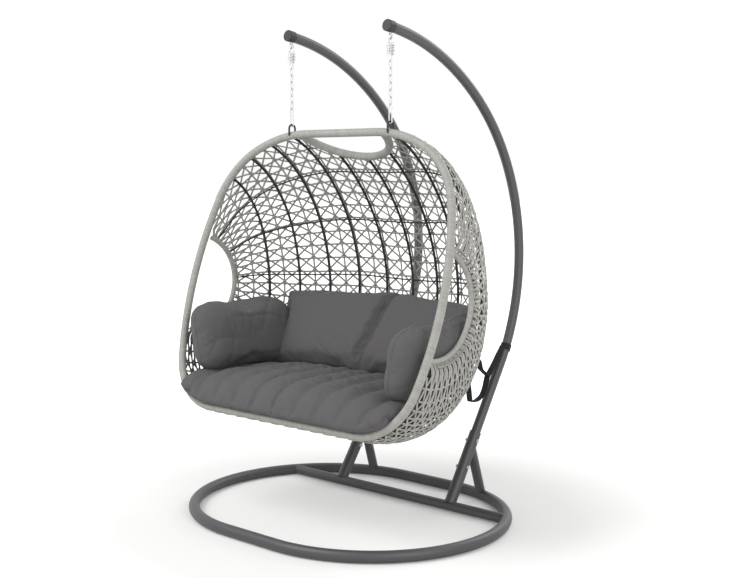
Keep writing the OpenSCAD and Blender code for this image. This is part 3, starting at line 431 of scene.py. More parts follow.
def build_strand_tree():
    """Flat oval strands along every path; a path's own outward direction turns its flat side."""
    g, i, o = geometry_tree("flat_strands", [("Width", "Float", 0.009), ("Thickness", "Float", 0.003),
                                             ("Sides", "Int", 6), ("Material", "Material", None)])
    line = node(g, "GeometryNodeMeshToCurve", [("Mesh", i.outputs[0])])
    turn = node(g, "GeometryNodeSetCurveNormal", [("Curve", line.outputs[0])], mode="FREE")
    g.links.new(named(g, "out", "FLOAT_VECTOR"), turn.inputs["Normal"])
    ring = node(g, "GeometryNodeCurvePrimitiveCircle", [("Resolution", i.outputs["Sides"])], Radius=0.5)
    size = node(g, "ShaderNodeCombineXYZ", [("X", i.outputs["Thickness"]), ("Y", i.outputs["Width"])], Z=1.0)
    oval = node(g, "GeometryNodeTransform", [("Geometry", ring.outputs[0]), ("Scale", size.outputs[0])])
    tube = node(g, "GeometryNodeCurveToMesh",
                [("Curve", turn.outputs[0]), ("Profile Curve", oval.outputs[0])])
    tube.inputs["Fill Caps"].default_value = True
    return close_tree(g, i, o, tube.outputs[0])


def build_round_tree():
    """Round rods along every path."""
    g, i, o = geometry_tree("round_rods", [("Diameter", "Float", 0.01), ("Sides", "Int", 12),
                                           ("Material", "Material", None)])
    line = node(g, "GeometryNodeMeshToCurve", [("Mesh", i.outputs[0])])
    half = math_node(g, "MULTIPLY", i.outputs["Diameter"], 0.5)
    ring = node(g, "GeometryNodeCurvePrimitiveCircle", [("Resolution", i.outputs["Sides"]), ("Radius", half)])
    tube = node(g, "GeometryNodeCurveToMesh",
                [("Curve", line.outputs[0]), ("Profile Curve", ring.outputs[0])])
    tube.inputs["Fill Caps"].default_value = True
    return close_tree(g, i, o, tube.outputs[0])


def build_wound_tree():
    """A bar wound with a strand: one helix of rounded turns along every path."""
    g, i, o = geometry_tree("wound_bar", [("Diameter", "Float", 0.032), ("Pitch", "Float", 0.008),
                                          ("Ridge", "Float", 0.0016), ("Sides", "Int", 16),
                                          ("Material", "Material", None)])
    line = node(g, "GeometryNodeMeshToCurve", [("Mesh", i.outputs[0])])
    part = math_node(g, "DIVIDE", i.outputs["Pitch"], 5.0)
    fine = node(g, "GeometryNodeResampleCurve", [("Curve", line.outputs[0])], mode="LENGTH")
    g.links.new(part, fine.inputs[fine.inputs.find("Length")])
    at = node(g, "GeometryNodeSplineParameter")
    curve = keep_as(g, fine.outputs[0], "along", at.outputs["Length"])
    core = math_node(g, "SUBTRACT", math_node(g, "MULTIPLY", i.outputs["Diameter"], 0.5), i.outputs["Ridge"])
    ring = node(g, "GeometryNodeCurvePrimitiveCircle", [("Resolution", i.outputs["Sides"]), ("Radius", core)])
    around = node(g, "GeometryNodeSplineParameter")
    profile = keep_as(g, ring.outputs[0], "around", around.outputs["Factor"])
    tube = node(g, "GeometryNodeCurveToMesh", [("Curve", curve), ("Profile Curve", profile)])
    tube.inputs["Fill Caps"].default_value = True
    passed = math_node(g, "DIVIDE", named(g, "along"), i.outputs["Pitch"])
    turns = math_node(g, "ADD", passed, named(g, "around"))
    wave = math_node(g, "ABSOLUTE", math_node(g, "SINE", math_node(g, "MULTIPLY", turns, math.pi)))
    rise = math_node(g, "POWER", wave, 0.6)
    up = math_node(g, "MULTIPLY", rise, i.outputs["Ridge"])
    push = node(g, "ShaderNodeVectorMath", operation="SCALE")
    g.links.new(node(g, "GeometryNodeInputNormal").outputs[0], push.inputs[0])
    g.links.new(up, push.inputs["Scale"])
    moved = node(g, "GeometryNodeSetPosition", [("Geometry", tube.outputs[0]), ("Offset", push.outputs[0])])
    # Depth in the gap between two turns; the cane material paints shade there.
    grooved = keep_as(g, moved.outputs[0], "groove", math_node(g, "SUBTRACT", 1.0, rise))
    whole = math_node(g, "FLOOR", turns)
    pick = node(g, "FunctionNodeRandomValue", [("ID", whole)], data_type="FLOAT", Seed=11)
    toned = keep_as(g, grooved, "tone", pick.outputs[1])
    return close_tree(g, i, o, toned)


def build_spring_tree():
    """A close coil of round wire on the Z axis, with its first turn at the origin's level."""
    g, i, o = geometry_tree("spring_coil", [("Radius", "Float", 0.0135), ("Wire", "Float", 0.0044),
                                            ("Turns", "Float", 6.0), ("Length", "Float", 0.036),
                                            ("Place", "Vector", None), ("Material", "Material", None)])
    line = node(g, "GeometryNodeCurveSpiral",
                [("Rotations", i.outputs["Turns"]), ("Start Radius", i.outputs["Radius"]),
                 ("End Radius", i.outputs["Radius"]), ("Height", i.outputs["Length"])], Resolution=28)
    half = math_node(g, "MULTIPLY", i.outputs["Wire"], 0.5)
    ring = node(g, "GeometryNodeCurvePrimitiveCircle", [("Radius", half)], Resolution=12)
    tube = node(g, "GeometryNodeCurveToMesh",
                [("Curve", line.outputs[0]), ("Profile Curve", ring.outputs[0])])
    tube.inputs["Fill Caps"].default_value = True
    put = node(g, "GeometryNodeTransform",
               [("Geometry", tube.outputs[0]), ("Translation", i.outputs["Place"])])
    return close_tree(g, i, o, put.outputs[0])


def path_mesh(name, paths, closed=False):
    """Polylines as a mesh of edges; each path is (points, outward directions or None, tone)."""
    pts, outs, tones, edges = [], [], [], []
    for points, out, tone in paths:
        k = len(pts)
        pts += [tuple(p) for p in points]
        outs += [tuple(v) for v in (out if out is not None else [(0, 0, 1)] * len(points))]
        tones += [tone] * len(points)
        edges += [(k + j, k + j + 1) for j in range(len(points) - 1)]
        if closed:
            edges.append((k + len(points) - 1, k))
    me = bpy.data.meshes.new(name)
    me.from_pydata(pts, edges, [])
    me.attributes.new("out", "FLOAT_VECTOR", "POINT").data.foreach_set("vector", np.ravel(outs))
    me.attributes.new("tone", "FLOAT", "POINT").data.foreach_set("value", np.ravel(tones))
    obj = bpy.data.objects.new(name, me)
    bpy.context.scene.collection.objects.link(obj)
    return obj


def grown(obj, tree_name, **inputs):
    """The plain mesh that a geometry tree makes of obj, under obj's name."""
    tree = bpy.data.node_groups[tree_name]
    mod = obj.modifiers.new("grow", "NODES")
    mod.node_group = tree
    for item in tree.interface.items_tree:
        if item.in_out == "INPUT" and item.name in inputs:
            mod[item.identifier] = inputs[item.name]
    bpy.context.view_layer.update()
    deps = bpy.context.evaluated_depsgraph_get()
    mesh = bpy.data.meshes.new_from_object(obj.evaluated_get(deps))
    if not mesh.polygons:
        raise RuntimeError(obj.name + ": the tree " + tree_name + " made no faces")
    obj.modifiers.remove(mod)
    obj.data = mesh
    mesh.name = obj.name
    return obj


def finish_cad(names, material):
    for n in names:
        o = frame["nodes"][n]
        o.data.materials.clear()
        o.data.materials.append(material)


def add_mesh(name, verts, faces, material, smooth=True):
    me = bpy.data.meshes.new(name)
    me.from_pydata([tuple(v) for v in verts], [], faces)
    me.validate()
    for p in me.polygons:
        p.use_smooth = smooth
    me.materials.append(material)
    obj = bpy.data.objects.new(name, me)
    bpy.context.scene.collection.objects.link(obj)
    return obj


# ---------------------------------------------------------------- paths of the basket, in metres
def rim_points(step=10.0):
    """The rim's centre line, clockwise from the middle of its top, in metres."""
    pts = [np.array([x, 0.0]) for x in np.linspace(0, RIM_FLAT, 18)[:-1]]
    for k, (c, r) in enumerate(zip(ARC_C, RIM_R)):
        n = max(4, int(r * (ARC_A[k + 1] - ARC_A[k]) * DEG / step))
        for a in np.linspace(ARC_A[k], ARC_A[k + 1], n + 1)[:-1]:
            pts.append(c + r * np.array([sind(a), cosd(a)]))
    pts += [np.array([x, ARC_P[3][1]]) for x in np.linspace(ARC_P[3][0], 0, 30)]
    right = np.array(pts)
    whole = np.vstack([right, (right * [-1, 1])[1:-1][::-1]])
    return np.stack([whole[:, 0], RIM_Y + whole[:, 1] * sind(RIM_LEAN),
                     RIM_TOP_Z + whole[:, 1] * cosd(RIM_LEAN)], -1) / 1000


def handle_points():
    half = math.degrees(math.acos(-HANDLE_BACK / HANDLE_R))
    a = np.linspace(90 - half, 90 + half, 60)
    x, w = HANDLE_R * cosd(a), HANDLE_BACK + HANDLE_R * sind(a)
    return np.stack([x, RIM_Y + w * cosd(HANDLE_DIP), RIM_TOP_Z - w * sind(HANDLE_DIP)], -1) / 1000


def side_bar_points(side):
    a = np.linspace(-90 - RIM_LEAN + 4, 90 - RIM_LEAN - 4, 60)
    return np.stack([side * SIDE_X + 0 * a, SIDE_Y + SIDE_R * cosd(a), SIDE_Z + SIDE_R * sind(a)], -1) / 1000


def bar_end(p):
    """Where a strand that ends at p, beside a side opening, is tied to the opening's bar."""
    y, z = p[1] - SIDE_Y, p[2] - SIDE_Z
    far = math.hypot(y, z)
    if abs(p[0]) < 480 or far > SIDE_R + 40:
        return None
    return np.array([math.copysign(SIDE_X, p[0]), SIDE_Y + y * SIDE_R / far, SIDE_Z + z * SIDE_R / far])


def surface_path(a, t, off, keep, spacing=16.0, tied=False):
    """Runs of a path on the basket that lie in the weave: a list of (points, outward) in metres."""
    base = bowl(a, t)
    out = bowl_normal(a, t)
    ok = in_weave(base + out * np.mean(off), keep) & (np.abs(a) < 76)
    runs, k = [], 0
    while k < len(ok):
        if not ok[k]:
            k += 1
            continue
        e = k
        while e + 1 < len(ok) and ok[e + 1]:
            e += 1
        p = base[k:e + 1] + out[k:e + 1] * np.broadcast_to(off, len(a))[k:e + 1, None]
        o = out[k:e + 1]
        for last, cut in ((0, k > 0), (-1, e < len(ok) - 1)):
            tie = bar_end(p[last]) if tied and cut else None
            if tie is not None:
                p = np.vstack([tie[None], p] if last == 0 else [p, tie[None]])
                o = np.vstack([o[:1], o] if last == 0 else [o, o[-1:]])
        d = np.concatenate([[0], np.cumsum(np.linalg.norm(np.diff(p, axis=0), axis=1))])
        if d[-1] > 40:
            n = max(3, int(d[-1] / spacing) + 1)
            s = np.linspace(0, d[-1], n)
            q = np.stack([np.interp(s, d, p[:, j]) for j in range(3)], -1)
            u = np.stack([np.interp(s, d, o[:, j]) for j in range(3)], -1)
            runs.append((q / 1000, u))
        k = e + 1
    return runs


def bar_bands():
    """Strands laid side by side from each side opening's bar out to the weave, as (points, outward)."""
    a, t = np.meshgrid(np.linspace(45, 76, 63), np.linspace(15, 170, 156))
    skin = bowl(a, t).reshape(-1, 3)
    runs = []
    for j in range(1, 6):
        share = j / 6
        line, out = [], []
        for ang in np.linspace(-90 - RIM_LEAN + 12, 90 - RIM_LEAN - 12, 44):
            edge = SIDE_R + SIDE_D / 2 + 6
            y, z = SIDE_Y + edge * cosd(ang), SIDE_Z + edge * sind(ang)
            x = skin[np.argmin(np.hypot(skin[:, 1] - y, skin[:, 2] - z)), 0] + 15
            r = SIDE_R + (edge - SIDE_R) * share + 7 * math.sin(math.pi * share)
            line.append((SIDE_X + (x - SIDE_X) * share, SIDE_Y + r * cosd(ang), SIDE_Z + r * sind(ang)))
            out.append((0.75, 0.66 * cosd(ang), 0.66 * sind(ang)))
        line, out = np.array(line) / 1000, np.array(out)
        for side in (1, -1):
            runs.append((line * [side, 1, 1], out * [side, 1, 1]))
    return runs


# ---------------------------------------------------------------- property groups
class EggChairWeave(bpy.types.PropertyGroup):
    strand_width: FloatProperty(name="Strand width", description="Width of one flat strand of cane",
                                default=0.0085, min=0.004, max=0.014, unit="LENGTH")
    strand_thick: FloatProperty(name="Strand thickness", description="Thickness of one strand of cane",
                                default=0.0032, min=0.0015, max=0.005, unit="LENGTH")
    column_step: FloatProperty(name="Column step",
                               description="Girth angle between two upright strands, in degrees",
                               default=6.0, min=4.0, max=12.0)
    turn_pitch: FloatProperty(name="Turn pitch", description="Distance between two turns of a wound bar",
                              default=0.0085, min=0.004, max=0.02, unit="LENGTH")
    cane_colour: FloatVectorProperty(name="Cane colour", description="Colour of the cane, linear",
                                     default=(0.42, 0.415, 0.385), size=3, min=0.0, max=1.0, subtype="COLOR")


class EggChairFrame(bpy.types.PropertyGroup):
    paint_colour: FloatVectorProperty(name="Stand paint", description="Colour of the stand's satin paint, linear",
                                      default=(0.0070, 0.0075, 0.0088), size=3, min=0.0, max=1.0,
                                      subtype="COLOR")
    rod_colour: FloatVectorProperty(name="Rod paint", description="Colour of the basket's rods, linear",
                                    default=(0.012, 0.012, 0.013), size=3, min=0.0, max=1.0, subtype="COLOR")
    zinc_colour: FloatVectorProperty(name="Zinc", description="Colour of the plated hardware, linear",
                                     default=(0.43, 0.44, 0.46), size=3, min=0.0, max=1.0, subtype="COLOR")


class EggChairCushions(bpy.types.PropertyGroup):
    cloth_colour: FloatVectorProperty(name="Cloth", description="Colour of the cushion cloth, linear",
                                      default=(0.098, 0.091, 0.092), size=3, min=0.0, max=1.0, subtype="COLOR")
    channels: IntProperty(name="Channels", description="Sewn channels across the seat",
                          default=10, min=4, max=16)
    puff: FloatProperty(name="Puff", description="Furthest that the filling may push the cloth out",
                        default=0.015, min=0.0, max=0.03, unit="LENGTH")
    voxel: FloatProperty(name="Cloth cell", description="Size of a cloth cell in the simulation",
                         default=0.0088, min=0.004, max=0.02, unit="LENGTH")


# ---------------------------------------------------------------- cushions
def spread(i, n):
    return math.sin(math.radians(180 * i / n - 90)) * 0.35 + (2 * i / n - 1) * 0.65


def puff_at(u, v, m=4):
    return math.sqrt(max(0.0, (1 - abs(u) ** m) * (1 - abs(v) ** m)))


def rim_slope(x):
    return math.asin(min(0.9, max(0, abs(x) - ARC_P[3][0]) / RIM_R[3]))


def rest_at(x):
    z = RIM_TOP_Z + float(rim_low(np.array(abs(x)))) * cosd(RIM_LEAN)
    return z + (WRAP_D / 2 + 0.4) / math.cos(rim_slope(x))


_floor = {}


def floor_z(x, y):
    """Level of the basket's rods under a point of the seat, with room for the rod."""
    key = (round(x, 3), round(y, 3))
    if key not in _floor:
        a = math.degrees(math.asin(min(0.985, abs(x) / RIM_W)))
        lo, hi = 90.0, 179.0
        for _ in range(16):
            mid = (lo + hi) / 2
            if bowl(a, mid)[1] > y:
                lo = mid
            else:
                hi = mid
        mid = (lo + hi) / 2
        n = bowl_normal(np.array([a]), np.array([mid]))[0]
        _floor[key] = float(bowl(a, mid)[2]) + (ROD_D / 2 + 12) / max(0.3, -n[2])
    return _floor[key]


SEAT = {"w": 1156.0, "d": 572.0, "t": 120.0, "deep": 17.0, "corner": 2.0}
RIM_FRONT = RIM_Y + ARC_P[3][1] * math.sin(RIM_LEAN * DEG)
SEAT["front"] = RIM_FRONT - 38


def seat_point(u, v, side, channels):
    half = SEAT["w"] / 2 * (1 - 0.6 * max(0, v) ** 3.2) * (1 - 0.06 * max(0, -v) ** 6)
    x = u * half * (1 - 0.015 * (1 - v * v))
    y = SEAT["front"] + SEAT["d"] * (v + 1) / 2 + SEAT["corner"] * u * u * max(0, -v)
    seam = max(rest_at(x) + 14, 0 if y < 0 else floor_z(x, y) + 3)
    p = puff_at(u, v)
    if side > 0:
        crease = SEAT["deep"] * (1 - abs(math.sin(math.pi * (u + 1) * channels / 2)) ** 0.6) * min(1, 3 * p)
        return (x, y + crease * max(0, -v) ** 8, seam + SEAT["t"] * p - crease)
    flat = seam - 70 * p
    return (x, y, max(rest_at(x), flat) if y < RIM_FRONT + 2 * WRAP_D else max(floor_z(x, y), flat))


BACK = {"w": 1076.0, "h": 438.0, "t": 130.0, "lean": 40.0, "foot": (72.0, 543.0), "curve": 160.0,
        "round": 0.03}


def back_point(u, v, side):
    w = u * (1 - 0.03 * (1 - v * v)) * math.sqrt(1 - BACK["round"] * v ** 4)
    h = v * (1 - 0.06 * (1 - u * u)) * math.sqrt(1 - BACK["round"] * u ** 4)
    p = puff_at(u, v)
    f = p * BACK["t"] / 2 * side
    out = f - (20 * max(0, 1 - abs(u) * 12) ** 2 * min(1, 3 * p) if side > 0 else 0)
    s = BACK["h"] * (h + 1) / 2
    sn, cs = math.sin(BACK["lean"] * DEG), math.cos(BACK["lean"] * DEG)
    return (w * BACK["w"] / 2 * (1 - 0.04 * (1 - v) / 2),
            BACK["foot"][0] + s * sn - out * cs - BACK["curve"] * u * u * (0.35 + 0.65 * (v + 1) / 2),
            BACK["foot"][1] + s * cs + out * sn)


BOLSTER = {"l": 520.0, "h": 312.0, "t": 146.0, "r": 900.0, "x": 608.0, "y": -190.0, "z": 700.0,
           "lean": 10.0, "turn": -6.0, "round": 0.35}


def bolster_point(u, v, side):
    b = BOLSTER
    w = u * (1 - 0.03 * (1 - v * v)) * math.sqrt(1 - b["round"] * v ** 4)
    h = v * (1 - 0.04 * (1 - u * u)) * math.sqrt(1 - b["round"] * u ** 4) * b["h"] / 2
    f = puff_at(u, v) * b["t"] / 2 * side
    g = w * b["l"] / 2 / b["r"] + b["turn"] * DEG
    x = b["x"] - b["t"] / 2 - b["r"] * (1 - math.cos(g)) + f * math.cos(g)
    y = b["y"] - b["r"] * math.sin(g) - f * math.sin(g)
    return (x + h * math.sin(b["lean"] * DEG), y, b["z"] + h)


def pillow_mesh(name, point, cols, rows, material):
    """A closed pillow: a front and a back grid that share their border."""
    us, vs = [spread(i, cols) for i in range(cols + 1)], [spread(j, rows) for j in range(rows + 1)]
    bm = bmesh.new()
    grid = {}
    for side in (1, -1):
        for j, v in enumerate(vs):
            for i, u in enumerate(us):
                edge = i in (0, cols) or j in (0, rows)
                if edge and side < 0:
                    grid[side, i, j] = grid[1, i, j]
                else:
                    grid[side, i, j] = bm.verts.new(np.array(point(u, v, side)) / 1000)
    for side in (1, -1):
        for j in range(rows):
            for i in range(cols):
                quad = [grid[side, i + a, j + b] for a, b in ((0, 0), (1, 0), (1, 1), (0, 1))]
                if len(set(quad)) == 4:
                    bm.faces.new(quad if side > 0 else quad[::-1])
    bmesh.ops.recalc_face_normals(bm, faces=bm.faces)
    me = bpy.data.meshes.new(name)
    bm.to_mesh(me)
    bm.free()
    me.materials.append(material)
    obj = bpy.data.objects.new(name, me)
    bpy.context.scene.collection.objects.link(obj)
    return obj


def coords(mesh):
    co = np.empty(len(mesh.vertices) * 3, np.float32)
    mesh.vertices.foreach_get("co", co)
    return co.reshape(-1, 3)


def bake_modifiers(obj):
    bpy.context.view_layer.update()
    mesh = bpy.data.meshes.new_from_object(obj.evaluated_get(bpy.context.evaluated_depsgraph_get()))
    obj.modifiers.clear()
    obj.data = mesh
    return obj


def settle_cloth(obj, held, cap, pressure=4.0, spare=0.03):
    """Blows the cloth up against its seams, limits how far a point goes, and keeps the result.

    held gives each point's hold, from 0, free, to 1, sewn down."""
    rest = coords(obj.data)
    weights = held(rest)
    group = obj.vertex_groups.new(name="held")
    for k, w in enumerate(weights):
        if w > 0.01:
            group.add([k], float(min(1, w)), "REPLACE")
    mod = obj.modifiers.new("cloth", "CLOTH")
    c = mod.settings
    c.quality = 4
    c.mass = 0.35
    c.tension_stiffness = c.compression_stiffness = 18
    c.shear_stiffness = 6
    c.bending_stiffness = 0.25
    c.use_pressure = True
    c.uniform_pressure_force = pressure
    c.shrink_min = -spare
    c.effector_weights.gravity = 0
    c.vertex_group_mass = "held"
    c.pin_stiffness = 1.0
    mod.collision_settings.use_collision = False
    mod.collision_settings.use_self_collision = False
    mod.point_cache.frame_start, mod.point_cache.frame_end = 1, 20
    scene = bpy.context.scene
    for f in range(1, 21):
        scene.frame_set(f)
    deps = bpy.context.evaluated_depsgraph_get()
    moved = coords(obj.evaluated_get(deps).to_mesh())
    obj.evaluated_get(deps).to_mesh_clear()
    obj.modifiers.remove(mod)
    obj.vertex_groups.clear()
    scene.frame_set(1)
    step = moved - rest
    far = np.linalg.norm(step, axis=1, keepdims=True)
    step *= np.minimum(1, cap / np.maximum(far, 1e-9))
    obj.data.vertices.foreach_set("co", (rest + step).ravel())
    obj.data.update()
    return obj


def wrinkles(co, seed, size, height):
    """How far points sink into broken, bent creases, in metres."""
    rng = np.random.default_rng(seed)
    sink = np.zeros(len(co))
    for _ in range(6):
        along, across, patch = rng.normal(size=(3, 3))
        along, across, patch = (v / np.linalg.norm(v) for v in (along, across, patch))
        turn = 2 * math.pi / size * rng.uniform(0.6, 1.3)
        bend = 1.4 * np.sin(co @ across * turn * 0.4 + rng.uniform(0, 6.28))
        crest = (1 - np.abs(np.sin(co @ along * turn * 0.5 + bend + rng.uniform(0, 6.28)))) ** 3
        sink += crest * np.clip(np.sin(co @ patch * turn * 0.3 + rng.uniform(0, 6.28)), 0, 1) ** 2
    return height * np.minimum(sink, 1.4)


def press_clear(obj, others, room=0.0008, reach=0.03):
    """Flattens a cushion where it lies against other pieces, so that it stays just clear of them."""
    co = coords(obj.data)
    for other in others:
        bm = bmesh.new()
        bm.from_mesh(other.data)
        tree = BVHTree.FromBMesh(bm)
        low, high = coords(other.data).min(0) - reach, coords(other.data).max(0) + reach
        for k in np.nonzero(np.all((co > low) & (co < high), axis=1))[0]:
            at, normal, _, _ = tree.find_nearest(Vector(co[k]), reach)
            if at is not None and (Vector(co[k]) - at).dot(normal) < room:
                co[k] = at + normal * room
        bm.free()
    obj.data.vertices.foreach_set("co", co.ravel())
    obj.data.update()


def padded_piece(name, point, grid, material, held, settings, creases):
    """A cushion: a pillow blown up as cloth, creased, and pressed clear of what it lies against.

    grid counts its faces along and up; creases are a seed, a size and a depth in metres."""
    obj = pillow_mesh(name, point, *grid, material)
    mod = obj.modifiers.new("cells", "REMESH")
    mod.mode, mod.voxel_size, mod.use_smooth_shade = "VOXEL", settings.voxel, True
    bake_modifiers(obj)
    settle_cloth(obj, held, settings.puff)
    sub = obj.modifiers.new("smooth", "SUBSURF")
    sub.levels = sub.render_levels = 1
    bake_modifiers(obj)
    co = coords(obj.data)
    normals = np.empty(len(co) * 3, np.float32)
    obj.data.vertex_normals.foreach_get("vector", normals)
    co -= normals.reshape(-1, 3) * wrinkles(co, *creases)[:, None].astype(np.float32)
    obj.data.vertices.foreach_set("co", co.ravel())
    press_clear(obj, [bpy.data.objects[n] for n in NEIGHBOURS if n in bpy.data.objects and n != name])
    for p in obj.data.polygons:
        p.use_smooth = True
    obj.data.materials.clear()
    obj.data.materials.append(material)
    return obj


# Half width of the strip that a sewn line holds, and the levels of the seat's free top and held base.
SEAM_HOLD = 0.010
SEAT_TOP_FROM = 0.505
SEAT_BASE_TO = 0.47
NEIGHBOURS = ("upright_rods", "level_rods", "wound_rim", "wound_side_bars", "seat_pad", "back_pad")


def seam_tube(name, point, count, material, pad, diameter=0.0034):
    """The sewn edge of a cushion, a low closed welt along its border."""
    ring = [(-1 + 2 * k / count, -1) for k in range(count)] + [(1, -1 + 2 * k / count) for k in range(count)]
    ring += [(1 - 2 * k / count, 1) for k in range(count)] + [(-1, 1 - 2 * k / count) for k in range(count)]
    pts = np.array([point(u, v, 1) for u, v in ring]) / 1000
    bm = bmesh.new()
    bm.from_mesh(pad.data)
    tree = BVHTree.FromBMesh(bm)
    pts = np.array([tree.find_nearest(Vector(p))[0] for p in pts])
    bm.free()
    obj = path_mesh(name, [(pts, None, 0.5)], closed=True)
    grown(obj, "round_rods", Diameter=diameter, Sides=8, Material=material)
    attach(obj, pad["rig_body"])
    return obj


def near_lines(values, lines, width):
    """1 on a line and 0 beyond width from it, for each value."""
    d = np.min(np.abs(np.asarray(values)[:, None] - np.asarray(lines)[None, :]), axis=1)
    return np.clip(1 - d / width, 0, 1)


# ---------------------------------------------------------------- operators
class EGGCHAIR_OT_finishes(bpy.types.Operator):
    """Make the shader groups, the geometry trees and the materials"""
    bl_idname = "egg_chair.finishes"
    bl_label = "Finishes"

    def execute(self, context):
        weave, frm, cush = context.scene.egg_weave, context.scene.egg_frame, context.scene.egg_cushions
        for build in (build_mottle, build_scuffs, build_threads, build_strand_lines, build_strand_tree,
                      build_round_tree, build_wound_tree, build_spring_tree):
            build()
        painted_metal("stand_paint", frm.paint_colour, 0.42, spec=0.17)
        painted_metal("rod_paint", frm.rod_colour, 0.48, fine=300.0, streaks=0.15)
        painted_metal("cap_plastic", (0.016, 0.016, 0.017), 0.5, fine=650.0, streaks=0.1)
        painted_metal("bright_zinc", frm.zinc_colour, 0.30, fine=700.0, streaks=0.5, metallic=1.0)
        cane("cane", weave.cane_colour)
        cushion_cloth("cushion_cloth", cush.cloth_colour)
        webbing("black_webbing", (0.011, 0.011, 0.012))
        return {"FINISHED"}


class EGGCHAIR_OT_stand(bpy.types.Operator):
    """Paint the stand's tubes, plate its hardware and finish its end caps"""
    bl_idname = "egg_chair.stand"
    bl_label = "Stand"

    def execute(self, context):
        m = bpy.data.materials
        finish_cad(["base_ring", "cross_tube", "post_left", "post_right", "brace_left", "brace_right",
                    "arm_left", "arm_right"], m["stand_paint"])
        finish_cad(["end_caps"], m["cap_plastic"])
        finish_cad(["post_bolts", "post_nuts", "eye_bolts", "eye_nuts"], m["bright_zinc"])
        return {"FINISHED"}


class EGGCHAIR_OT_hangers(bpy.types.Operator):
    """Plate the chains and drawbars and wind the springs"""
    bl_idname = "egg_chair.hangers"
    bl_label = "Springs and chains"

    def execute(self, context):
        zinc = bpy.data.materials["bright_zinc"]
        finish_cad(["spring_bars_upper", "spring_bars_lower", "chain_left", "chain_right", "end_links"], zinc)
        for side, word in ((-1, "left"), (1, "right")):
            low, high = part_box("spring_coil_" + word)
            z0 = low.z + 0.0022
            length = high.z - low.z - 0.0044
            coil = path_mesh("coil_" + word, [([(0, 0, 0), (0, 0, 0.001)], None, 0.5)])
            grown(coil, "spring_coil", Radius=0.0135, Wire=0.0044, Turns=6.0, Length=length,
                  Place=(side * HANG[0] / 1000, HANG[1] / 1000, z0), Material=zinc)
            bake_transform(coil)
            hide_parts("spring_coil_" + word)
        return {"FINISHED"}


class EGGCHAIR_OT_basket_frame(bpy.types.Operator):
    """Make the basket's round rods and hoops and the bars wound with cane"""
    bl_idname = "egg_chair.basket_frame"
    bl_label = "Basket frame"

    def execute(self, context):
        weave = context.scene.egg_weave
        m = bpy.data.materials
        finish_cad(["hang_loops", "rim_tube_frame", "handle_tube"], m["rod_paint"])
        rods = []
        for k in range(-5, 6):
            t = np.linspace(1, 179, 720)
            rods += [(p, None, 0.5) for p, _ in surface_path(k * 12.0 + 0 * t, t, 0.0, -1.0, 14.0)]
        ribs = grown(path_mesh("upright_rods", rods), "round_rods", Diameter=ROD_D / 1000, Sides=12,
                     Material=m["rod_paint"])
        hoops = []
        for t in HOOP_ROWS:
            a = np.linspace(-76, 76, 900)
            hoops += [(p, None, 0.5) for p, _ in surface_path(a, t + 0 * a, 8.0, -1.0, 12.0)]
        rings = grown(path_mesh("level_rods", hoops), "round_rods", Diameter=HOOP_D / 1000, Sides=10,
                      Material=m["rod_paint"])
        def wound(name, lines, thick, ridge, sides, closed=False):
            paths = path_mesh(name, [(p, None, 0.5) for p in lines], closed=closed)
            return grown(paths, "wound_bar", Diameter=thick / 1000, Pitch=weave.turn_pitch, Ridge=ridge,
                         Sides=sides, Material=m["cane"])

        rim = wound("wound_rim", [rim_points()], WRAP_D, 0.0014, 18, closed=True)
        handle = wound("wound_handle", [handle_points()], WRAP_D, 0.0014, 18)
        bars = wound("wound_side_bars", [side_bar_points(s) for s in (-1, 1)], SIDE_D, 0.0012, 16)
        for piece, cad, slot in ((ribs, "ribs", "black_paint"), (rings, "hoops", "black_paint"),
                                 (rim, "rim_wrap", "woven_strand"), (handle, "handle_wrap", "woven_strand"),
                                 (bars, "side_bars", "woven_strand")):
            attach(piece, "basket")
            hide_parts(cad)
        return {"FINISHED"}


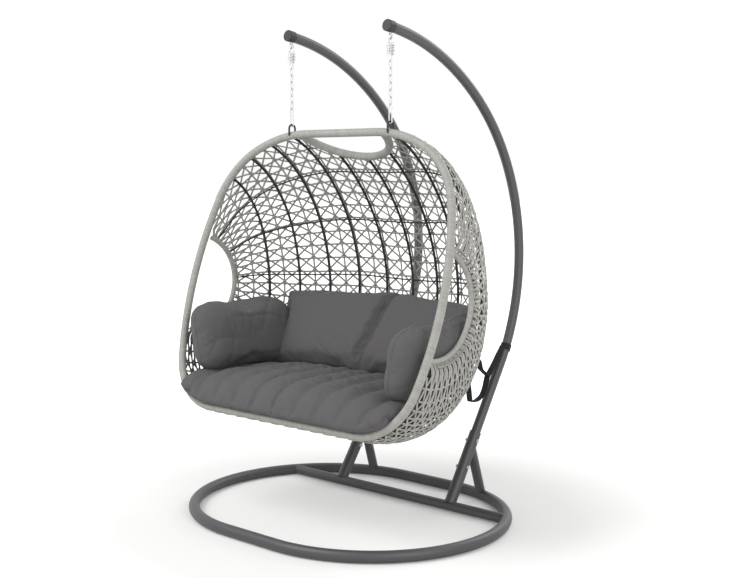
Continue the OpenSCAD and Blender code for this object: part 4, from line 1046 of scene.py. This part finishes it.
class EGGCHAIR_OT_weave(bpy.types.Operator):
    """Weave the cane: upright, level and two slanting families of flat strands"""
    bl_idname = "egg_chair.weave"
    bl_label = "Weave"

    def execute(self, context):
        weave = context.scene.egg_weave
        rng = np.random.default_rng(7)
        step = weave.column_step
        straight, slant = [], []

        def lay(family, a, t, wave, tone=None):
            for p, u in surface_path(a, t, STRAND_OUT + wave, WEAVE_KEEP, tied=True):
                family.append((p, u, float(rng.random()) if tone is None else tone))

        for k in range(-12, 13):
            a0 = k * step
            t = np.linspace(1, 179, 900)
            lay(straight, a0 + 0 * t, t, -STRAND_WAVE * np.cos(np.pi * t / ROW_STEP), float(rng.random()))
            if k < 12 and (abs(a0) >= DENSE_FROM[0] or abs(a0 + step) >= DENSE_FROM[0]):
                t = np.linspace(96, 179, 500)
                lay(straight, a0 + step / 2 + 0 * t, t, STRAND_WAVE * np.cos(np.pi * t / ROW_STEP))
        for j in range(2, 28):
            for half in (0, 1):
                at = (j + half / 2) * ROW_STEP
                if not half:
                    a = np.linspace(-76, 76, 1200)
                    lay(straight, a, at + 0 * a, STRAND_WAVE * np.cos(np.pi * a / step))
                elif 100 < at < 172:
                    for s in (-1, 1):
                        part = s * np.linspace(DENSE_FROM[1], 76, 500)
                        lay(straight, part, at + 0 * part, -STRAND_WAVE * np.cos(np.pi * part / step))
        straight += [(p, u, float(rng.random())) for p, u in bar_bands()]
        for s in (-1, 1):
            for k in range(-45, 46):
                # A slanting strand crosses one column while it crosses one row.
                a = np.linspace(-76, 76, 1400)
                t = 90 + ROW_STEP * (s * a / step + k + 0.5)
                ok = (t > 1) & (t < 179)
                if ok.sum() >= 8:
                    lay(slant, a[ok], t[ok], s * SLANT_WAVE * np.cos(2 * np.pi * a[ok] / step))
        cane_stuff = bpy.data.materials["cane"]
        for name, paths in (("straight_strands", straight), ("slanting_strands", slant)):
            obj = grown(path_mesh(name, paths), "flat_strands", Width=weave.strand_width,
                        Thickness=weave.strand_thick, Sides=6, Material=cane_stuff)
            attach(obj, "basket")
            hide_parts("woven_skin")
        return {"FINISHED"}


class EGGCHAIR_OT_seat(bpy.types.Operator):
    """Make the seat cushion with its sewn channels"""
    bl_idname = "egg_chair.seat"
    bl_label = "Seat cushion"

    def execute(self, context):
        c = context.scene.egg_cushions
        cloth = bpy.data.materials["cushion_cloth"]
        n = c.channels

        def point(u, v, side):
            return seat_point(u, v, side, n)

        lines = [SEAT["w"] / 2000 * (2 * k / n - 1) for k in range(1, n)]

        def held(co):
            y = co[:, 1] * 1000
            v = np.clip(2 * (y - SEAT["front"]) / SEAT["d"] - 1, -1, 1)
            half = (1 - 0.6 * np.maximum(0, v) ** 3.2) * (1 - 0.06 * np.maximum(0, -v) ** 6)
            on_seams = near_lines(co[:, 0] / np.maximum(half, 0.3), lines, SEAM_HOLD)
            return np.where(co[:, 2] > SEAT_TOP_FROM, on_seams, (co[:, 2] < SEAT_BASE_TO) * 0.6)

        obj = padded_piece("seat_pad", point, (120, 44), cloth, held, c, (3, 0.09, 0.0022))
        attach(obj, "basket")
        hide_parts("seat_cushion")
        seam_tube("seat_seam", point, 60, cloth, obj)
        return {"FINISHED"}


class EGGCHAIR_OT_back(bpy.types.Operator):
    """Make the back cushion with its middle seam"""
    bl_idname = "egg_chair.back"
    bl_label = "Back cushion"

    def execute(self, context):
        c = context.scene.egg_cushions
        cloth = bpy.data.materials["cushion_cloth"]

        def held(co):
            return near_lines(co[:, 0], [0.0], SEAM_HOLD)

        obj = padded_piece("back_pad", back_point, (72, 34), cloth, held, c, (8, 0.14, 0.0035))
        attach(obj, "basket")
        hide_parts("back_cushion")
        seam_tube("back_seam", back_point, 50, cloth, obj)
        return {"FINISHED"}


class EGGCHAIR_OT_bolsters(bpy.types.Operator):
    """Make the two side bolsters"""
    bl_idname = "egg_chair.bolsters"
    bl_label = "Side bolsters"

    def execute(self, context):
        c = context.scene.egg_cushions
        cloth = bpy.data.materials["cushion_cloth"]
        for s, word in ((1, "right"), (-1, "left")):
            def point(u, v, side, s=s):
                x, y, z = bolster_point(u, v, side)
                return (s * x, y, z)

            obj = padded_piece("bolster_pad_" + word, point, (44, 30), cloth, lambda co: 0 * co[:, 0], c,
                               (20 + s, 0.13, 0.004))
            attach(obj, "basket")
            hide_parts("bolster_" + word)
            seam_tube("bolster_seam_" + word, point, 40, cloth, obj)
        return {"FINISHED"}


# Routes of the two runs of a strap as (y, z), its distance from the middle, and its outline, in mm.
STRAP_DOWN = ((670, 642.7), (663.2, 631), (642, 610), (606, 568), (556, 518), (542, 473), (521, 442),
              (479, 427), (437, 429), (428, 485), (420, 520))
STRAP_ACROSS = ((558, 524), (509, 559), (498, 594), (470, 620), (400, 672))
STRAP_X = 290
STRAP_OUTLINE = ((-14, -1.2), (-12.6, -1.3), (12.6, -1.3), (14, -1.2),
                 (14, 1.2), (12.6, 1.3), (-12.6, 1.3), (-14, 1.2))


def strap_line(route):
    """A strap's run with its corners eased, and its normals, both as (y, z) in metres."""
    p = np.array(route, float) / 1000
    d = np.concatenate([[0], np.cumsum(np.linalg.norm(np.diff(p, axis=0), axis=1))])
    q = np.linspace(0, d[-1], 70)
    line = np.stack([np.interp(q, d, p[:, k]) for k in range(2)], -1)
    ease = np.array([1, 2, 3, 2, 1]) / 9
    padded = np.vstack([line[:1]] * 2 + [line] + [line[-1:]] * 2)
    line = np.stack([np.convolve(padded[:, k], ease, "valid") for k in range(2)], -1)
    run = np.gradient(line, axis=0)
    normal = np.stack([-run[:, 1], run[:, 0]], -1)
    return line, normal / np.linalg.norm(normal, axis=1, keepdims=True)


class EGGCHAIR_OT_straps(bpy.types.Operator):
    """Make the black webbing straps and finish their bands"""
    bl_idname = "egg_chair.straps"
    bl_label = "Straps"

    def execute(self, context):
        stuff = bpy.data.materials["black_webbing"]
        finish_cad(["strap_bands"], stuff)
        for s, word in ((1, "right"), (-1, "left")):
            bm = bmesh.new()
            for route in (STRAP_DOWN, STRAP_ACROSS):
                rows = []
                for at, normal in zip(*strap_line(route)):
                    ring = []
                    for dx, dn in STRAP_OUTLINE:
                        y, z = at + normal * dn / 1000
                        ring.append(bm.verts.new((s * (STRAP_X + dx) / 1000, y, z)))
                    rows.append(ring)
                for r0, r1 in zip(rows, rows[1:]):
                    for k in range(8):
                        bm.faces.new([r0[k], r0[(k + 1) % 8], r1[(k + 1) % 8], r1[k]])
                bm.faces.new(rows[0][::-1])
                bm.faces.new(rows[-1])
            bmesh.ops.recalc_face_normals(bm, faces=bm.faces)
            me = bpy.data.meshes.new("strap_band_" + word)
            bm.to_mesh(me)
            bm.free()
            me.materials.append(stuff)
            obj = bpy.data.objects.new("strap_web_" + word, me)
            context.scene.collection.objects.link(obj)
            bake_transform(obj)
            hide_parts("strap_" + word)
        return {"FINISHED"}


# Each lamp's name, place in metres, width in metres and power in watts.
LAMPS = (("key", (-1.6, -3.4, 4.2), 3.0, 125.0), ("fill", (4.2, -1.2, 2.6), 2.6, 55.0),
         ("rear", (0.8, 4.0, 3.4), 2.5, 60.0))


class EGGCHAIR_OT_stage(bpy.types.Operator):
    """Lay the pale floor, set the soft studio light and place the camera"""
    bl_idname = "egg_chair.stage"
    bl_label = "Stage"

    def execute(self, context):
        scene = context.scene
        floor_m = bpy.data.materials.new("pale_floor")
        floor_m.use_nodes = True
        t = floor_m.node_tree
        t.nodes.clear()
        out = t.nodes.new("ShaderNodeOutputMaterial")
        matt = node(t, "ShaderNodeBsdfDiffuse", Color=(0.90, 0.895, 0.885, 1))
        glow = node(t, "ShaderNodeEmission", Color=(1, 1, 1, 1))
        path = t.nodes.new("ShaderNodeLightPath")
        seen = math_node(t, "ADD", path.outputs["Is Camera Ray"], path.outputs["Is Glossy Ray"], True)
        coord = t.nodes.new("ShaderNodeTexCoord")
        far = node(t, "ShaderNodeVectorMath", operation="LENGTH")
        t.links.new(coord.outputs["Object"], far.inputs[0])
        fade = node(t, "ShaderNodeMapRange", [("Value", far.outputs["Value"])])
        for key, value in (("From Min", 0.9), ("From Max", 3.2), ("To Min", 0.13), ("To Max", 0.9)):
            fade.inputs[key].default_value = value
        t.links.new(math_node(t, "MULTIPLY", seen, fade.outputs[0]), glow.inputs["Strength"])
        both = t.nodes.new("ShaderNodeAddShader")
        t.links.new(matt.outputs[0], both.inputs[0])
        t.links.new(glow.outputs[0], both.inputs[1])
        t.links.new(both.outputs[0], out.inputs[0])
        corners = [(-40, -40, 0), (40, -40, 0), (40, 40, 0), (-40, 40, 0)]
        floor = add_mesh("stage_floor", corners, [(0, 1, 2, 3)], floor_m, smooth=False)
        floor.location.z = -0.0005

        world = bpy.data.worlds.new("studio")
        scene.world = world
        world.use_nodes = True
        t = world.node_tree
        t.nodes.clear()
        out = t.nodes.new("ShaderNodeOutputWorld")
        soft = node(t, "ShaderNodeBackground", Color=(1, 1, 1, 1), Strength=0.55)
        white = node(t, "ShaderNodeBackground", Color=(1, 1, 1, 1), Strength=1.0)
        path = t.nodes.new("ShaderNodeLightPath")
        seen = math_node(t, "ADD", path.outputs["Is Camera Ray"], path.outputs["Is Glossy Ray"], True)
        mix = t.nodes.new("ShaderNodeMixShader")
        t.links.new(seen, mix.inputs[0])
        t.links.new(soft.outputs[0], mix.inputs[1])
        t.links.new(white.outputs[0], mix.inputs[2])
        t.links.new(mix.outputs[0], out.inputs[0])

        for name, place, size, power in LAMPS:
            lamp = bpy.data.lights.new(name, "AREA")
            lamp.shape, lamp.size, lamp.energy = "SQUARE", size, power
            o = bpy.data.objects.new(name, lamp)
            o.location = place
            aim = Vector((0, 0, 0.9)) - Vector(place)
            o.rotation_euler = aim.to_track_quat("-Z", "Y").to_euler()
            scene.collection.objects.link(o)

        az, pitch = 41.49 * DEG, 5.87 * DEG
        fwd = Vector((-math.sin(az) * math.cos(pitch), math.cos(az) * math.cos(pitch), -math.sin(pitch)))
        right = Vector((math.cos(az), math.sin(az), 0))
        up = right.cross(fwd)
        cam = bpy.data.cameras.new("camera")
        cam.sensor_fit, cam.sensor_width = "HORIZONTAL", 36.0
        cam.lens = 1163.2 / 746 * 36
        cam.clip_end = 200
        co = bpy.data.objects.new("camera", cam)
        rot = Matrix((right, up, -fwd)).transposed()
        co.matrix_world = Matrix.Translation((3.150, -3.406, 1.393)) @ rot.to_4x4()
        scene.collection.objects.link(co)
        scene.camera = co
        scene.view_settings.view_transform = "Standard"
        return {"FINISHED"}


class EGGCHAIR_PT_panel(bpy.types.Panel):
    """Lists the chair's sizes, colours and pieces"""
    bl_idname = "EGGCHAIR_PT_panel"
    bl_label = "Egg Chair"
    bl_space_type = "VIEW_3D"
    bl_region_type = "UI"
    bl_category = "Egg Chair"

    def draw(self, context):
        scene = context.scene
        for group in (scene.egg_weave, scene.egg_frame, scene.egg_cushions):
            box = self.layout.box()
            for key in group.__class__.__annotations__:
                box.prop(group, key)
        for op in STEPS:
            self.layout.operator(op.bl_idname)


STEPS = (EGGCHAIR_OT_stage, EGGCHAIR_OT_finishes, EGGCHAIR_OT_stand, EGGCHAIR_OT_hangers,
         EGGCHAIR_OT_basket_frame, EGGCHAIR_OT_weave, EGGCHAIR_OT_seat, EGGCHAIR_OT_back,
         EGGCHAIR_OT_bolsters, EGGCHAIR_OT_straps)
CLASSES = (EggChairWeave, EggChairFrame, EggChairCushions) + STEPS + (EGGCHAIR_PT_panel,)


def register():
    for c in CLASSES:
        bpy.utils.register_class(c)
    bpy.types.Scene.egg_weave = PointerProperty(type=EggChairWeave)
    bpy.types.Scene.egg_frame = PointerProperty(type=EggChairFrame)
    bpy.types.Scene.egg_cushions = PointerProperty(type=EggChairCushions)


def unregister():
    del bpy.types.Scene.egg_cushions
    del bpy.types.Scene.egg_frame
    del bpy.types.Scene.egg_weave
    for c in reversed(CLASSES):
        bpy.utils.unregister_class(c)


def main():
    register()
    for op in STEPS:
        result = getattr(bpy.ops.egg_chair, op.bl_idname.split(".")[1])()
        if result != {"FINISHED"}:
            raise RuntimeError(op.bl_idname + " did not finish")


if __name__ == "__main__":
    main()
